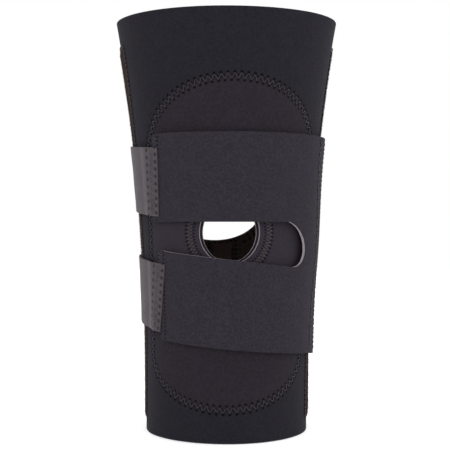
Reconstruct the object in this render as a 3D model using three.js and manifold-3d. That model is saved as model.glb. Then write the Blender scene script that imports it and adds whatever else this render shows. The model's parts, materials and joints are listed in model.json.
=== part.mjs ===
// Open-patella knee sleeve with a lateral wrap, two fastening straps and two side stays.
// Millimetres, +Z up. The origin is the centre of the bottom rim, on which the sleeve stands.
// The front faces -Y and the wrap is sewn to the +X side.
import * as THREE from "three";
import { mergeVertices } from "three/addons/utils/BufferGeometryUtils.js";
import Module from "manifold-3d";

const wasm = await Module();
wasm.setup();

// The leg form: an upright oval tube that flares towards the thigh.
const HEIGHT = 305;
const HALF_WIDTH = { bottom: 60.4, flare: 22.7 };
const HALF_DEPTH = { bottom: 66, flare: 9.7 };
const FLARE_POWER = 2.5;
const MM_PER_DEGREE = 1.16;

// Cloth and foam, and the clearance between touching pieces.
const NEOPRENE = 3.2;
const GAP = 0.3;

// How finely shapes are divided: steps round each outline, rings across each plug, cells across and
// up each sheet. A tall narrow piece has a cell for each band height.
const AROUND = 48;
const BAND_HEIGHT = 30;
const STEPS = { panel: 60, kneecap: 32, hollow: 40, slot: 40 };
const RINGS = { panel: 6, hollow: 4, kneecap: 2, patch: 3, slot: 3 };
const CELLS = {
  label: [3, 2],
  strip: [12, 10],
  edging: [8, 10],
  root: [8, 10],
  strap: [14, 3],
  seam: [1, 8],
  sewnEnd: [2, 3],
  tab: [14, 3],
  hooks: [8, 3],
};
const CUT_REACH = 10;
const WELD = 1e-4;

// The knee bends between these two heights; the cuffs above and below stay in shape.
const FLEX = { low: 107, high: 183 };

// The front panel's outline: an arch over a flat bowl, with straight sides between.
const PANEL = {
  halfAngle: 62,
  archZ: 187,
  archRise: 70,
  archTurn: 4.5,
  bowlZ: 61,
  bowlDrop: 37.5,
  bowlPower: 1.2,
};
const PANEL_SIDE_SHARE = 0.3;

// Openings at the kneecap and behind the knee. The kneecap's circles are a little wider than tall
// on the flat cloth, because the cloth curves away on both sides.
const KNEECAP = { theta: 2.1, z: 147.7, radius: 21.8, inner: 20.4, seam: 28.6, patch: 34, stretch: 1.06 };
const PATCH_THICK = 2.4;
const HOLLOW = { theta: 188.8, z: 168, halfWidth: 42, halfHeight: 27, seam: 6 };

// Stitching is a thin flat band here.
const THREAD = 0.5;
const SEAM_WIDTH = 5;
const NARROW_SEAM_WIDTH = 2.5;
const BACK_SEAM = { theta: 174.5, fromRim: 2, fromHollow: 1 };

// Side strips of loop pile, each a pocket for a steel stay. A strip is wider in front of its stay
// than behind it, so that it reaches under the hook tabs.
const STRIP = { low: 12, high: 285, front: 35, back: 25, thick: 0.6, lift: 0.3, edging: 2.5 };
const CHANNEL = { rise: 2.3, halfWidth: 10, flatHalf: 5 };
const STRIP_FRONT = { medial: { low: -78, high: -72.5, side: -1 }, lateral: { low: 73, high: 85, side: 1 } };
const STAY = { low: 40, high: 258, halfWidth: 3.6, lowD: 0.85, highD: 1.75 };
const TIP = { length: 10, cover: 7, halfWidth: 4.6, lowD: 0.3, highD: 2.3, wall: 0.3 };

// The wrap: one sheet that is sewn to the lateral side and cut by a slot into two straps.
const WRAP = { thick: 3, lift: 1.5, splitTheta: 40, rearTheta: 91, frontSeam: 69.5, rearSeam: 88.5, seamInset: 3 };
const SLOT_BULGE = { height: 2.4, theta: 60, spreadTheta: 35, z: 138, spreadZ: 40 };
const SLOT_END = { reach: 14, sag: 5 };
const UPPER = { top: 218.3, bottom: 155.5, leftTop: -46.5, leftBottom: -52 };
const LOWER = { topAtFront: 129.3, topSlope: -0.131, bottomAtFront: 66.5, bottomSlope: -0.1086, left: -47 };

// Hook tabs: flat tape sewn over the end of each strap, then bent down onto the side strip.
const TAB = { thick: 1, height: 49, slope: -0.1, bendTheta: -51.5, dropEnd: -62, hookStart: -65 };
const TAB_STITCHING = { fromBend: 1.5, fromRight: 0.5, inset: 1.5 };
const UPPER_TAB = { low: 159, rightTop: -41.5, rightBottom: -43.5, end: -95 };
const LOWER_TAB = { low: 76.5, rightTop: -40, rightBottom: -45.5, end: -97 };
const HOOKS = { lowD: 1.2, thick: 0.5, margin: 2 };

// A blank care label inside the back.
const LABEL = { from: 176, to: 189.7, low: 109, high: 138.5, thick: 0.4 };

const radians = THREE.MathUtils.degToRad;
const lerp = THREE.MathUtils.lerp;
const clamp = THREE.MathUtils.clamp;

// A point on the leg form: theta is in degrees from the front, towards +X, and d is how far it
// stands outside the sleeve's outer face.
function onLeg(theta, z, d) {
  const flare = Math.pow(Math.max(z, 0) / HEIGHT, FLARE_POWER);
  const halfWidth = HALF_WIDTH.bottom + HALF_WIDTH.flare * flare + d;
  const halfDepth = HALF_DEPTH.bottom + HALF_DEPTH.flare * flare + d;
  return [halfWidth * Math.sin(radians(theta)), -halfDepth * Math.cos(radians(theta)), z];
}

// Moves every corner of a closed geometry by place(x, y, z) and makes a solid of it, facing out.
function solid(geometry, place) {
  geometry.deleteAttribute("normal");
  geometry.deleteAttribute("uv");
  const merged = mergeVertices(geometry, WELD);
  const from = merged.attributes.position;
  const points = new Float32Array(from.count * 3);
  for (let i = 0; i < from.count; i++) {
    points.set(place(from.getX(i), from.getY(i), from.getZ(i)), 3 * i);
  }
  const corner = (i) => new THREE.Vector3().fromArray(points, 3 * i);
  const triangles = [];
  let volume = 0;
  for (let i = 0; i < merged.index.count; i += 3) {
    const [a, b, c] = [0, 1, 2].map((k) => merged.index.getX(i + k));
    if (a === b || b === c || a === c) continue;
    triangles.push(a, b, c);
    volume += corner(a).dot(corner(b).cross(corner(c)));
  }
  if (volume < 0) triangles.reverse();
  const triVerts = Uint32Array.from(triangles);
  return new wasm.Manifold(new wasm.Mesh({ numProp: 3, vertProperties: points, triVerts }));
}

// A stretch of tube round the leg form, between two heights and two depths.
function tube(low, high, innerD, outerD) {
  const bands = Math.ceil((high - low) / BAND_HEIGHT);
  const profile = [];
  for (let i = 0; i <= bands; i++) profile.push(new THREE.Vector2(1, i / bands));
  for (let i = bands; i >= 0; i--) profile.push(new THREE.Vector2(2, i / bands));
  profile.push(profile[0].clone());
  return solid(new THREE.LatheGeometry(profile, AROUND), (x, y, z) => {
    const theta = THREE.MathUtils.radToDeg(Math.atan2(x, z));
    return onLeg(theta, lerp(low, high, y), lerp(innerD, outerD, Math.hypot(x, z) - 1));
  });
}

// A point on a closed outline, moved out along its normal by offset millimetres.
function outlinePoint(outline, s, offset) {
  const step = 1e-4;
  const [theta, z] = outline(s);
  const [thetaBefore, zBefore] = outline(s - step);
  const [thetaAfter, zAfter] = outline(s + step);
  const along = new THREE.Vector2((thetaAfter - thetaBefore) * MM_PER_DEGREE, zAfter - zBefore).normalize();
  return [theta + (along.y * offset) / MM_PER_DEGREE, z - along.x * offset];
}

// A solid plug that fills an outline between two depths, laid on the leg form.
function plug(outline, offset, innerD, outerD, rings, segments) {
  const profile = [];
  for (let i = 0; i <= rings; i++) profile.push(new THREE.Vector2(i / rings, 0));
  for (let i = rings; i >= 0; i--) profile.push(new THREE.Vector2(i / rings, 1));
  const [middleTheta, middleZ] = middle(outline);
  return solid(new THREE.LatheGeometry(profile, segments), (x, y, z) => {
    const s = Math.atan2(x, z) / (2 * Math.PI);
    const [theta, height] = outlinePoint(outline, s, offset);
    const reach = Math.hypot(x, z);
    const d = lerp(innerD, outerD, y);
    return onLeg(lerp(middleTheta, theta, reach), lerp(middleZ, height, reach), d);
  });
}

function middle(outline) {
  const [right, left] = [outline(0), outline(0.5)];
  return [(right[0] + left[0]) / 2, (right[1] + left[1]) / 2];
}

// Cells of a sheet that is one cell wide and has one for each band height.
const bandCells = (low, high) => [1, Math.ceil((high - low) / BAND_HEIGHT)];

// A flat band that follows an outline, from one offset to another.
function outlineBand(outline, from, to, innerD, outerD, segments) {
  const corners = [[1, 0], [2, 0], [2, 1], [1, 1], [1, 0]];
  const profile = corners.map(([x, y]) => new THREE.Vector2(x, y));
  return solid(new THREE.LatheGeometry(profile, segments), (x, y, z) => {
    const s = Math.atan2(x, z) / (2 * Math.PI);
    const [theta, height] = outlinePoint(outline, s, lerp(from, to, Math.hypot(x, z) - 1));
    return onLeg(theta, height, lerp(innerD, outerD, y));
  });
}

// A sheet on the leg form: place turns two shares, from 0 to 1, into theta and z, and depth gives
// the sheet's inner and outer d there.
function sheet([across, up], place, depth) {
  return solid(new THREE.BoxGeometry(1, 1, 1, across, up, 1), (x, y, z) => {
    const [theta, height] = place(x + 0.5, y + 0.5);
    const [innerD, outerD] = depth(theta, height, x + 0.5);
    return onLeg(theta, height, lerp(innerD, outerD, z + 0.5));
  });
}

// Outlines. Each takes s, one turn being 0 to 1, and starts at the +theta side going up.
function ellipseOutline(theta, z, halfWidth, halfHeight) {
  return (s) => {
    const turn = 2 * Math.PI * s;
    return [theta + (halfWidth * Math.cos(turn)) / MM_PER_DEGREE, z + halfHeight * Math.sin(turn)];
  };
}

function panelOutline(s) {
  const turn = 2 * Math.PI * s;
  const rise = Math.sin(turn);
  const arch = PANEL.archZ + PANEL.archRise * rise;
  const bowl = PANEL.bowlZ - PANEL.bowlDrop * Math.pow(Math.abs(rise), PANEL.bowlPower);
  const side = clamp(0.5 + rise / PANEL_SIDE_SHARE, 0, 1);
  const z = lerp(bowl, arch, side);
  const upwards = clamp((z - PANEL.bowlZ) / (PANEL.archZ - PANEL.bowlZ), 0, 1);
  return [PANEL.archTurn * upwards + PANEL.halfAngle * Math.cos(turn), z];
}

// The closed end of the wrap's slot, open to the left of the line where the straps begin.
function slotOutline(s) {
  const turn = 2 * Math.PI * s;
  const top = UPPER.bottom;
  const bottom = LOWER.topAtFront + LOWER.topSlope * WRAP.splitTheta;
  const reach = SLOT_END.reach * Math.cos(turn);
  const sag = SLOT_END.sag * Math.max(Math.cos(turn), 0);
  return [WRAP.splitTheta + reach, (top + bottom) / 2 + ((top - bottom) / 2) * Math.sin(turn) - sag];
}

const kneecapCircle = (radius) => ellipseOutline(KNEECAP.theta, KNEECAP.z, radius * KNEECAP.stretch, radius);
const hollowOutline = ellipseOutline(HOLLOW.theta, HOLLOW.z, HOLLOW.halfWidth, HOLLOW.halfHeight);

// The sleeve, in three stretches so that the knee can bend, with its front and back cut out.
const cutter = (outline, offset, rings, segments) => plug(outline, offset, -CUT_REACH, CUT_REACH, rings, segments);
const panelHole = cutter(panelOutline, GAP / 2, RINGS.panel, STEPS.panel);
const panelFill = cutter(panelOutline, -GAP / 2, RINGS.panel, STEPS.panel);
const hollowHole = cutter(hollowOutline, 0, RINGS.hollow, STEPS.hollow);
const kneecapHole = cutter(kneecapCircle(KNEECAP.radius), 0, RINGS.kneecap, STEPS.kneecap);
const kneecapInnerHole = cutter(kneecapCircle(KNEECAP.inner), 0, RINGS.kneecap, STEPS.kneecap);

function stretches() {
  return {
    calf: [0, FLEX.low - GAP / 2],
    knee: [FLEX.low + GAP / 2, FLEX.high - GAP / 2],
    thigh: [FLEX.high + GAP / 2, HEIGHT],
  };
}

function sleeveStretch([low, high]) {
  return tube(low, high, -NEOPRENE, 0).subtract(panelHole).subtract(hollowHole);
}

function panelStretch([low, high]) {
  return tube(low, high, -NEOPRENE, 0).intersect(panelFill).subtract(kneecapHole);
}

// The ring sewn behind the kneecap opening, which doubles its edge.
function patellaRing() {
  const outer = -NEOPRENE - GAP;
  const rim = kneecapCircle(KNEECAP.patch);
  const patch = plug(rim, 0, outer - PATCH_THICK, outer, RINGS.patch, STEPS.kneecap);
  return patch.subtract(kneecapInnerHole);
}

function seamBand(outline, from, to, segments) {
  return outlineBand(outline, from, to, GAP, GAP + THREAD, segments);
}

function backSeam(low, high) {
  const half = SEAM_WIDTH / 2 / MM_PER_DEGREE;
  return sheet(
    bandCells(low, high),
    (u, v) => [BACK_SEAM.theta + lerp(-half, half, u), lerp(low, high, v)],
    () => [GAP, GAP + THREAD],
  );
}

function careLabel() {
  return sheet(
    CELLS.label,
    (u, v) => [lerp(LABEL.from, LABEL.to, u), lerp(LABEL.low, LABEL.high, v)],
    () => [-NEOPRENE - GAP - LABEL.thick, -NEOPRENE - GAP],
  );
}

// The angle of a point on a side strip, offset from the middle of its stay towards the back of the
// leg. The stay leans a little, as the strip's front edge does.
function stripTheta(side, z, offset) {
  const edge = STRIP_FRONT[side];
  const up = (z - STRIP.low) / (STRIP.high - STRIP.low);
  return lerp(edge.low, edge.high, up) + (edge.side * (STRIP.front + offset)) / MM_PER_DEGREE;
}

// The strip lies flat at its edges and rises between them into a channel for the stay.
function stayPocket(side) {
  const offset = (u) => lerp(-STRIP.front, STRIP.back, u);
  const slope = CHANNEL.halfWidth - CHANNEL.flatHalf;
  const rise = (u) => CHANNEL.rise * clamp((CHANNEL.halfWidth - Math.abs(offset(u))) / slope, 0, 1);
  return sheet(
    CELLS.strip,
    (u, v) => {
      const z = lerp(STRIP.low, STRIP.high, v);
      return [stripTheta(side, z, offset(u)), z];
    },
    (theta, z, u) => [STRIP.lift + rise(u), STRIP.lift + rise(u) + STRIP.thick],
  );
}

// Overcast stitching just outside all four edges of a side strip.
function pocketEdging(side) {
  const frame = (margin, innerD, outerD) =>
    sheet(
      CELLS.edging,
      (u, v) => {
        const z = lerp(STRIP.low - margin, STRIP.high + margin, v);
        return [stripTheta(side, z, lerp(-STRIP.front - margin, STRIP.back + margin, u)), z];
      },
      () => [innerD, outerD],
    );
  const outside = frame(STRIP.edging, STRIP.lift, STRIP.lift + THREAD);
  return outside.subtract(frame(GAP, -CUT_REACH, CUT_REACH));
}

function stayBar(side, low, high, halfWidth, lowD, highD) {
  return sheet(
    bandCells(low, high),
    (u, v) => {
      const z = lerp(low, high, v);
      return [stripTheta(side, z, lerp(-halfWidth, halfWidth, u)), z];
    },
    () => [lowD, highD],
  );
}

// A folded metal cap over one end of a stay; reach is +1 at the top end and -1 at the bottom.
function stayTip(side, end, reach) {
  const from = end - reach * TIP.cover;
  const to = from + reach * TIP.length;
  const pocketTo = end + reach * GAP;
  const cap = stayBar(side, Math.min(from, to), Math.max(from, to), TIP.halfWidth, TIP.lowD, TIP.highD);
  const inside = stayBar(
    side,
    Math.min(from - reach, pocketTo),
    Math.max(from - reach, pocketTo),
    TIP.halfWidth - TIP.wall,
    TIP.lowD + TIP.wall,
    TIP.highD - TIP.wall,
  );
  return cap.subtract(inside);
}

// How far the wrap's inner face stands off the sleeve: most beside the end of its slot.
function wrapLift(theta, z) {
  const across = (theta - SLOT_BULGE.theta) / SLOT_BULGE.spreadTheta;
  const up = (z - SLOT_BULGE.z) / SLOT_BULGE.spreadZ;
  return WRAP.lift + SLOT_BULGE.height * Math.exp(-across * across - up * up);
}

const wrapDepth = (theta, z) => [wrapLift(theta, z), wrapLift(theta, z) + WRAP.thick];
const lowerTop = (theta) => LOWER.topAtFront + LOWER.topSlope * theta;
const lowerBottom = (theta) => LOWER.bottomAtFront + LOWER.bottomSlope * theta;

// The sewn part of the wrap, from the straps' roots to its rear edge.
function wrapRoot() {
  const whole = sheet(
    CELLS.root,
    (u, v) => {
      const theta = lerp(WRAP.splitTheta, WRAP.rearTheta, u);
      return [theta, lerp(lowerBottom(theta), UPPER.top, v)];
    },
    wrapDepth,
  );
  return whole.subtract(cutter(slotOutline, 0, RINGS.slot, STEPS.slot));
}

const strapRoot = WRAP.splitTheta - GAP / MM_PER_DEGREE;

function upperStrap() {
  return sheet(
    CELLS.strap,
    (u, v) => {
      const left = lerp(UPPER.leftBottom, UPPER.leftTop, v);
      return [lerp(left, strapRoot, u), lerp(UPPER.bottom, UPPER.top, v)];
    },
    wrapDepth,
  );
}

function lowerStrap() {
  return sheet(
    CELLS.strap,
    (u, v) => {
      const theta = lerp(LOWER.left, strapRoot, u);
      return [theta, lerp(lowerBottom(theta), lowerTop(theta), v)];
    },
    wrapDepth,
  );
}

// A seam across the wrap's outer face, at one angle, over its whole height.
function wrapSeam(theta) {
  const half = NARROW_SEAM_WIDTH / 2 / MM_PER_DEGREE;
  const [low, high] = [lowerBottom(theta) + WRAP.seamInset, UPPER.top - WRAP.seamInset];
  return sheet(
    CELLS.seam,
    (u, v) => [theta + lerp(-half, half, u), lerp(low, high, v)],
    (at, z) => [wrapLift(at, z) + WRAP.thick + GAP, wrapLift(at, z) + WRAP.thick + GAP + THREAD],
  );
}

// Tab tape. Its lower edge rises a little towards the free end.
const tabLow = (tab, theta) => tab.low + TAB.slope * (theta - tab.rightTop);
const tabOnStrap = WRAP.lift + WRAP.thick + GAP;
const tabOnStrip = HOOKS.lowD + HOOKS.thick + GAP;

function tabInner(theta) {
  const fall = clamp((TAB.bendTheta - theta) / (TAB.bendTheta - TAB.dropEnd), 0, 1);
  const smooth = fall * fall * (3 - 2 * fall);
  return lerp(tabOnStrap, tabOnStrip, smooth);
}

function tabSewnEnd(tab) {
  return sheet(
    CELLS.sewnEnd,
    (u, v) => {
      const theta = lerp(TAB.bendTheta + GAP, lerp(tab.rightBottom, tab.rightTop, v), u);
      return [theta, tabLow(tab, theta) + v * TAB.height];
    },
    () => [tabOnStrap, tabOnStrap + TAB.thick],
  );
}

function tabFreePart(tab) {
  return sheet(
    CELLS.tab,
    (u, v) => {
      const theta = lerp(tab.end, TAB.bendTheta, u);
      return [theta, tabLow(tab, theta) + v * TAB.height];
    },
    (theta) => [tabInner(theta), tabInner(theta) + TAB.thick],
  );
}

function hookFace(tab) {
  return sheet(
    CELLS.hooks,
    (u, v) => {
      const theta = lerp(tab.end + HOOKS.margin, TAB.hookStart, u);
      return [theta, lerp(HOOKS.margin, TAB.height - HOOKS.margin, v) + tabLow(tab, theta)];
    },
    () => [HOOKS.lowD, HOOKS.lowD + HOOKS.thick],
  );
}

// Zigzag stitching that holds the tab's end down on the strap.
function tabStitching(tab) {
  const { fromBend, fromRight, inset } = TAB_STITCHING;
  return sheet(
    CELLS.sewnEnd,
    (u, v) => {
      const right = lerp(tab.rightBottom, tab.rightTop, v) - fromRight;
      const theta = lerp(TAB.bendTheta + fromBend, right, u);
      return [theta, tabLow(tab, theta) + lerp(inset, TAB.height - inset, v)];
    },
    () => [tabOnStrap + TAB.thick + GAP, tabOnStrap + TAB.thick + GAP + THREAD],
  );
}

const finishes = {
  jersey: [0x2c2930, 0.95, 0],
  wrap: [0x35343b, 0.95, 0],
  tape: [0x655e66, 0.6, 0],
  loop: [0x2a1f1e, 1, 0],
  thread: [0x1d1b21, 0.7, 0],
  steel: [0x9a9c9f, 0.35, 1],
  label: [0x2b1b18, 0.8, 0],
};

const brace = new THREE.Group();

function add(name, finish, shape) {
  const { numProp, vertProperties, triVerts } = shape.getMesh();
  const geometry = new THREE.BufferGeometry();
  geometry.setAttribute("position", new THREE.BufferAttribute(new Float32Array(vertProperties), numProp));
  geometry.setIndex(new THREE.BufferAttribute(new Uint32Array(triVerts), 1));
  geometry.computeVertexNormals();
  const [color, roughness, metalness] = finishes[finish];
  const mesh = new THREE.Mesh(geometry, new THREE.MeshStandardMaterial({ color, roughness, metalness }));
  mesh.name = name;
  brace.add(mesh);
}

const { calf, knee, thigh } = stretches();
add("calf_sleeve", "jersey", sleeveStretch(calf));
add("knee_sleeve", "jersey", sleeveStretch(knee));
add("thigh_sleeve", "jersey", sleeveStretch(thigh));
add("front_panel_lower", "jersey", panelStretch(calf));
add("front_panel_middle", "jersey", panelStretch(knee));
add("front_panel_upper", "jersey", panelStretch(thigh));
add("patella_ring", "jersey", patellaRing());

const halfSeam = SEAM_WIDTH / 2;
const kneecapSeam = kneecapCircle(KNEECAP.seam);
add("oval_seam_thread", "thread", seamBand(panelOutline, -halfSeam, halfSeam, STEPS.panel));
add("ring_seam_thread", "thread", seamBand(kneecapSeam, -halfSeam, halfSeam, STEPS.kneecap));
add("popliteal_seam_thread", "thread", seamBand(hollowOutline, HOLLOW.seam - halfSeam, HOLLOW.seam, STEPS.hollow));

const hollowReach = HOLLOW.halfHeight + HOLLOW.seam + BACK_SEAM.fromHollow;
add("back_seam_thread_lower", "thread", backSeam(BACK_SEAM.fromRim, HOLLOW.z - hollowReach));
add("back_seam_thread_upper", "thread", backSeam(HOLLOW.z + hollowReach, HEIGHT - BACK_SEAM.fromRim));
add("care_label", "label", careLabel());

for (const side of ["medial", "lateral"]) {
  add(`${side}_stay_pocket`, "loop", stayPocket(side));
  add(`${side}_pocket_edging`, "thread", pocketEdging(side));
  const bar = stayBar(side, STAY.low, STAY.high, STAY.halfWidth, STAY.lowD, STAY.highD);
  add(`${side}_stay`, "steel", bar);
  add(`${side}_stay_tip_lower`, "steel", stayTip(side, STAY.low, -1));
  add(`${side}_stay_tip_upper`, "steel", stayTip(side, STAY.high, 1));
}

add("wrap_root", "wrap", wrapRoot());
add("wrap_front_seam_thread", "thread", wrapSeam(WRAP.frontSeam));
add("wrap_rear_seam_thread", "thread", wrapSeam(WRAP.rearSeam));
add("upper_strap", "wrap", upperStrap());
add("lower_strap", "wrap", lowerStrap());

for (const [name, tab] of [["upper", UPPER_TAB], ["lower", LOWER_TAB]]) {
  add(`${name}_tab_sewn_end`, "tape", tabSewnEnd(tab));
  add(`${name}_tab_stitching`, "thread", tabStitching(tab));
  add(`${name}_tab`, "tape", tabFreePart(tab));
  add(`${name}_hook_face`, "tape", hookFace(tab));
}

export default brace;
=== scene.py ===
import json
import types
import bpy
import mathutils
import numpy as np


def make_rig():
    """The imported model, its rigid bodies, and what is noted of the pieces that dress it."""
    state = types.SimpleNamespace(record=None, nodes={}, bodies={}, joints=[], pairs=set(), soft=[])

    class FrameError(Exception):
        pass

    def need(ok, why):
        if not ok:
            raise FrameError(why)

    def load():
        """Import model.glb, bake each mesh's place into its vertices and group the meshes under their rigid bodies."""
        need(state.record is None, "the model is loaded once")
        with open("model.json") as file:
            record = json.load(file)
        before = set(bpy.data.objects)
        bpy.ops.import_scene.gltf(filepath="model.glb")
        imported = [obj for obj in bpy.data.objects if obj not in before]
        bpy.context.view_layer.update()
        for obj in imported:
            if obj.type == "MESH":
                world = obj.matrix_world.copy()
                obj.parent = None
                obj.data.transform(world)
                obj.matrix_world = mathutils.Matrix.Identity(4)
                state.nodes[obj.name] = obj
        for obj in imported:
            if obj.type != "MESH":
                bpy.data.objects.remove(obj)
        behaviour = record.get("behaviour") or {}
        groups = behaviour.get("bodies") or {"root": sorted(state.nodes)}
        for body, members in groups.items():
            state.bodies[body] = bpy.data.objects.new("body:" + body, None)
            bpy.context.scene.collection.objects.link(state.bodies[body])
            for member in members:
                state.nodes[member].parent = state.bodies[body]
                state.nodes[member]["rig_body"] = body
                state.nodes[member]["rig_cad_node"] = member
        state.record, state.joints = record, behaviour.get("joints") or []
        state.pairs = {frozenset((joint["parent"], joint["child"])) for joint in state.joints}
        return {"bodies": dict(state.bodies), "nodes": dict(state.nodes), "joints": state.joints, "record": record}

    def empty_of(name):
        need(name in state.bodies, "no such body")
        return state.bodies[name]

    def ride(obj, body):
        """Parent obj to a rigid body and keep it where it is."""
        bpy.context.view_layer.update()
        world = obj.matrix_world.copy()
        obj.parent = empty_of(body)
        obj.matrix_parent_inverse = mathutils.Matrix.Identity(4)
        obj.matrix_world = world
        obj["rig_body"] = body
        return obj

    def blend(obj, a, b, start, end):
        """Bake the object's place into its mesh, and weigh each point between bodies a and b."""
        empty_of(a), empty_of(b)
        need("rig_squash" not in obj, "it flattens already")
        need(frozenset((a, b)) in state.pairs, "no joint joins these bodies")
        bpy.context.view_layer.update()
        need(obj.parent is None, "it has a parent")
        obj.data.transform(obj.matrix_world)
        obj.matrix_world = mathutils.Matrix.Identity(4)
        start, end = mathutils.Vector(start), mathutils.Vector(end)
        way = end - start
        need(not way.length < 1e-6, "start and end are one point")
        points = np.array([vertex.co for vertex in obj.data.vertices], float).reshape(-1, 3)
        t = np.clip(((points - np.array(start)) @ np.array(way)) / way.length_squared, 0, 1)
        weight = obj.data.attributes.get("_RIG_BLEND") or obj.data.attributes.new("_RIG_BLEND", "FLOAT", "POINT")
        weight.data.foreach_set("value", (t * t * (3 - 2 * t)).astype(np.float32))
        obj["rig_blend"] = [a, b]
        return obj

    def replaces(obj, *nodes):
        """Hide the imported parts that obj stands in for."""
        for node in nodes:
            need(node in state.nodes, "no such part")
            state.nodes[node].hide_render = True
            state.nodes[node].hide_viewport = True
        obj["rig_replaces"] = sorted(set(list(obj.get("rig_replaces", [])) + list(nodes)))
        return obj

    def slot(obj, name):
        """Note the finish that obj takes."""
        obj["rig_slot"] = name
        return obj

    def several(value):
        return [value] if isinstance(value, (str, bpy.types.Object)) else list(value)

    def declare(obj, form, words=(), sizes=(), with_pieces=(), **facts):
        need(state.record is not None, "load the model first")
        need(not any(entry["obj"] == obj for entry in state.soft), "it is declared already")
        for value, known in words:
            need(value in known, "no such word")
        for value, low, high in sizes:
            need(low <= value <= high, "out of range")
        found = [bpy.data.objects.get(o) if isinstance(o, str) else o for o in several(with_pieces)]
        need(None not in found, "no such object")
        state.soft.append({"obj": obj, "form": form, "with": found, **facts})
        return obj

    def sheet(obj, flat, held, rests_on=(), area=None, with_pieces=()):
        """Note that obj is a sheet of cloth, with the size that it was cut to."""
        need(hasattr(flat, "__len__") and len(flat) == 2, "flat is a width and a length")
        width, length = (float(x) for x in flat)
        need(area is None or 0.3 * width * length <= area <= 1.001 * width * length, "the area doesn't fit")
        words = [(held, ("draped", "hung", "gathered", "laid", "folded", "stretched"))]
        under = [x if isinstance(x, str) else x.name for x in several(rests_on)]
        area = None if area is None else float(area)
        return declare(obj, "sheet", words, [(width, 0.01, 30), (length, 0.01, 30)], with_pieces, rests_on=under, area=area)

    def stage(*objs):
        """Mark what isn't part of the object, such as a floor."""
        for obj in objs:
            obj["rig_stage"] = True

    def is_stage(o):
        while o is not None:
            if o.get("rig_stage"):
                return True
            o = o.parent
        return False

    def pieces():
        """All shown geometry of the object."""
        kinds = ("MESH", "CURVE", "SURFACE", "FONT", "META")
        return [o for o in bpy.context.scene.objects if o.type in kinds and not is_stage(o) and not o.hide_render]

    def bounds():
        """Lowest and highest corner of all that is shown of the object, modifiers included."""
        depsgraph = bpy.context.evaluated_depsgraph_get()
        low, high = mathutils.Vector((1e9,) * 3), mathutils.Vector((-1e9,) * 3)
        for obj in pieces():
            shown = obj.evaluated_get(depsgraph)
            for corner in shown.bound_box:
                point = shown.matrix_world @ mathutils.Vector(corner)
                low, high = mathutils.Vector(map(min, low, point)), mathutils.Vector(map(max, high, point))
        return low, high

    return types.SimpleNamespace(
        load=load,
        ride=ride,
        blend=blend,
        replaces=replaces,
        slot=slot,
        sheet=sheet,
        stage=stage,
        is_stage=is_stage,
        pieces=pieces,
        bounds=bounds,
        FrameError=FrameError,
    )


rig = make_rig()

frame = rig.load()
CAD_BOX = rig.bounds()

# An open-patella knee sleeve: a neoprene tube with a front panel, a side wrap with two straps,
# hook tabs and side stays.
import json
from math import pi, radians

import bmesh
import bpy
import numpy as np
from mathutils import Vector

# ---- The leg form, in millimetres ----
# An upright oval tube that flares towards the thigh. Angles are in degrees from the front, towards
# +X. Depth d is measured outwards from the sleeve's outer face.
MM = 0.001
TURN = 2 * pi
HEIGHT = 305.0
WIDTH_BOTTOM, WIDTH_FLARE = 60.4, 22.7
DEPTH_BOTTOM, DEPTH_FLARE = 66.0, 9.7
FLARE_POWER = 2.5
MM_PER_DEGREE = 1.16
NEOPRENE = 3.2

SLEEVE_BEND = ((0, 0, 0.107), (0, 0, 0.183))
WRAP_BEND = ((0, 0, 0.124), (0, 0, 0.155))

# Stitches: how wide a zigzag is, how long one stitch is and how thick its thread. The needle
# holes lie HOLE_OUT beyond the zigzag's corners.
STITCH = dict(width=4.2, pitch=4.7, radius=0.34)
HOLLOW_STITCH = dict(width=3.6, pitch=4.7, radius=0.34)
BACK_STITCH = dict(width=4.2, pitch=3.6, radius=0.34)
EDGE_STITCH = dict(width=3.4, pitch=3.4, radius=0.24)
END_STITCH = dict(width=4.6, pitch=2.8, radius=0.26)
HOLE_OUT = 0.7
HOLE_RADIUS, HOLE_FADE = 0.65, 1.35
FAR_SEAM = 50.0
SEAM_SINK = 0.9
SEAM_STEPS = np.array([0, 0.5, 1.1, 1.8, 2.4, 3.2, 4.4, 6.0, 8.0])
HOLE_STEPS = np.array([14, 10.8, 9.2, 7.6, 6.0, 4.4, 3.0, 1.6, 0.7, 0.45, 0.2, 0.0])

# One stroke of a zigzag: places along it and how far the thread stands above the cloth there.
STROKE = np.array([0.0, 0.06, 0.25, 0.5, 0.75, 0.94])
STROKE_RISE = np.array([-0.75, -0.05, 0.22, 0.30, 0.22, -0.05])

# Cut edges are rounded, and the rims' rows of points lie close together there. A sheet's four
# borders show foam or plain cloth. At UNWORN from an edge nothing is rounded.
EDGE_ROUND, UNWORN = 0.7, 9.0
RIM = 2.0
RIM_STEPS = np.array([0, 0.2, 0.45, EDGE_ROUND, 1.3, RIM])
SIDE_CELLS, RIM_CELLS = 90, 96
ALL_FOAM, ALL_PLAIN = ("foam",) * 4, ("plain",) * 4

# The front panel is an arch over a bowl. The opening over the kneecap, the one behind the knee and
# the care label are given by their middle, their edges or both.
PANEL_FORM = dict(arch=187.0, rise=70.0, bowl=61.0, fall=37.5, half_angle=62.0, lean=4.5)
RING_STITCH = dict(width=4.4, pitch=2.5, radius=0.25)
KNEECAP = dict(theta=2.1, z=147.7, radius=21.8, inner=20.4, seam=28.6, patch=34.0, stretch=1.06)
HOLLOW = dict(theta=188.8, z=168.0, half_width=42.0, half_height=27.0, seam=4.8)
BACK_SEAM = 174.5
LABEL = dict(left=176.0, right=189.7, low=109.0, high=138.5)

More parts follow.
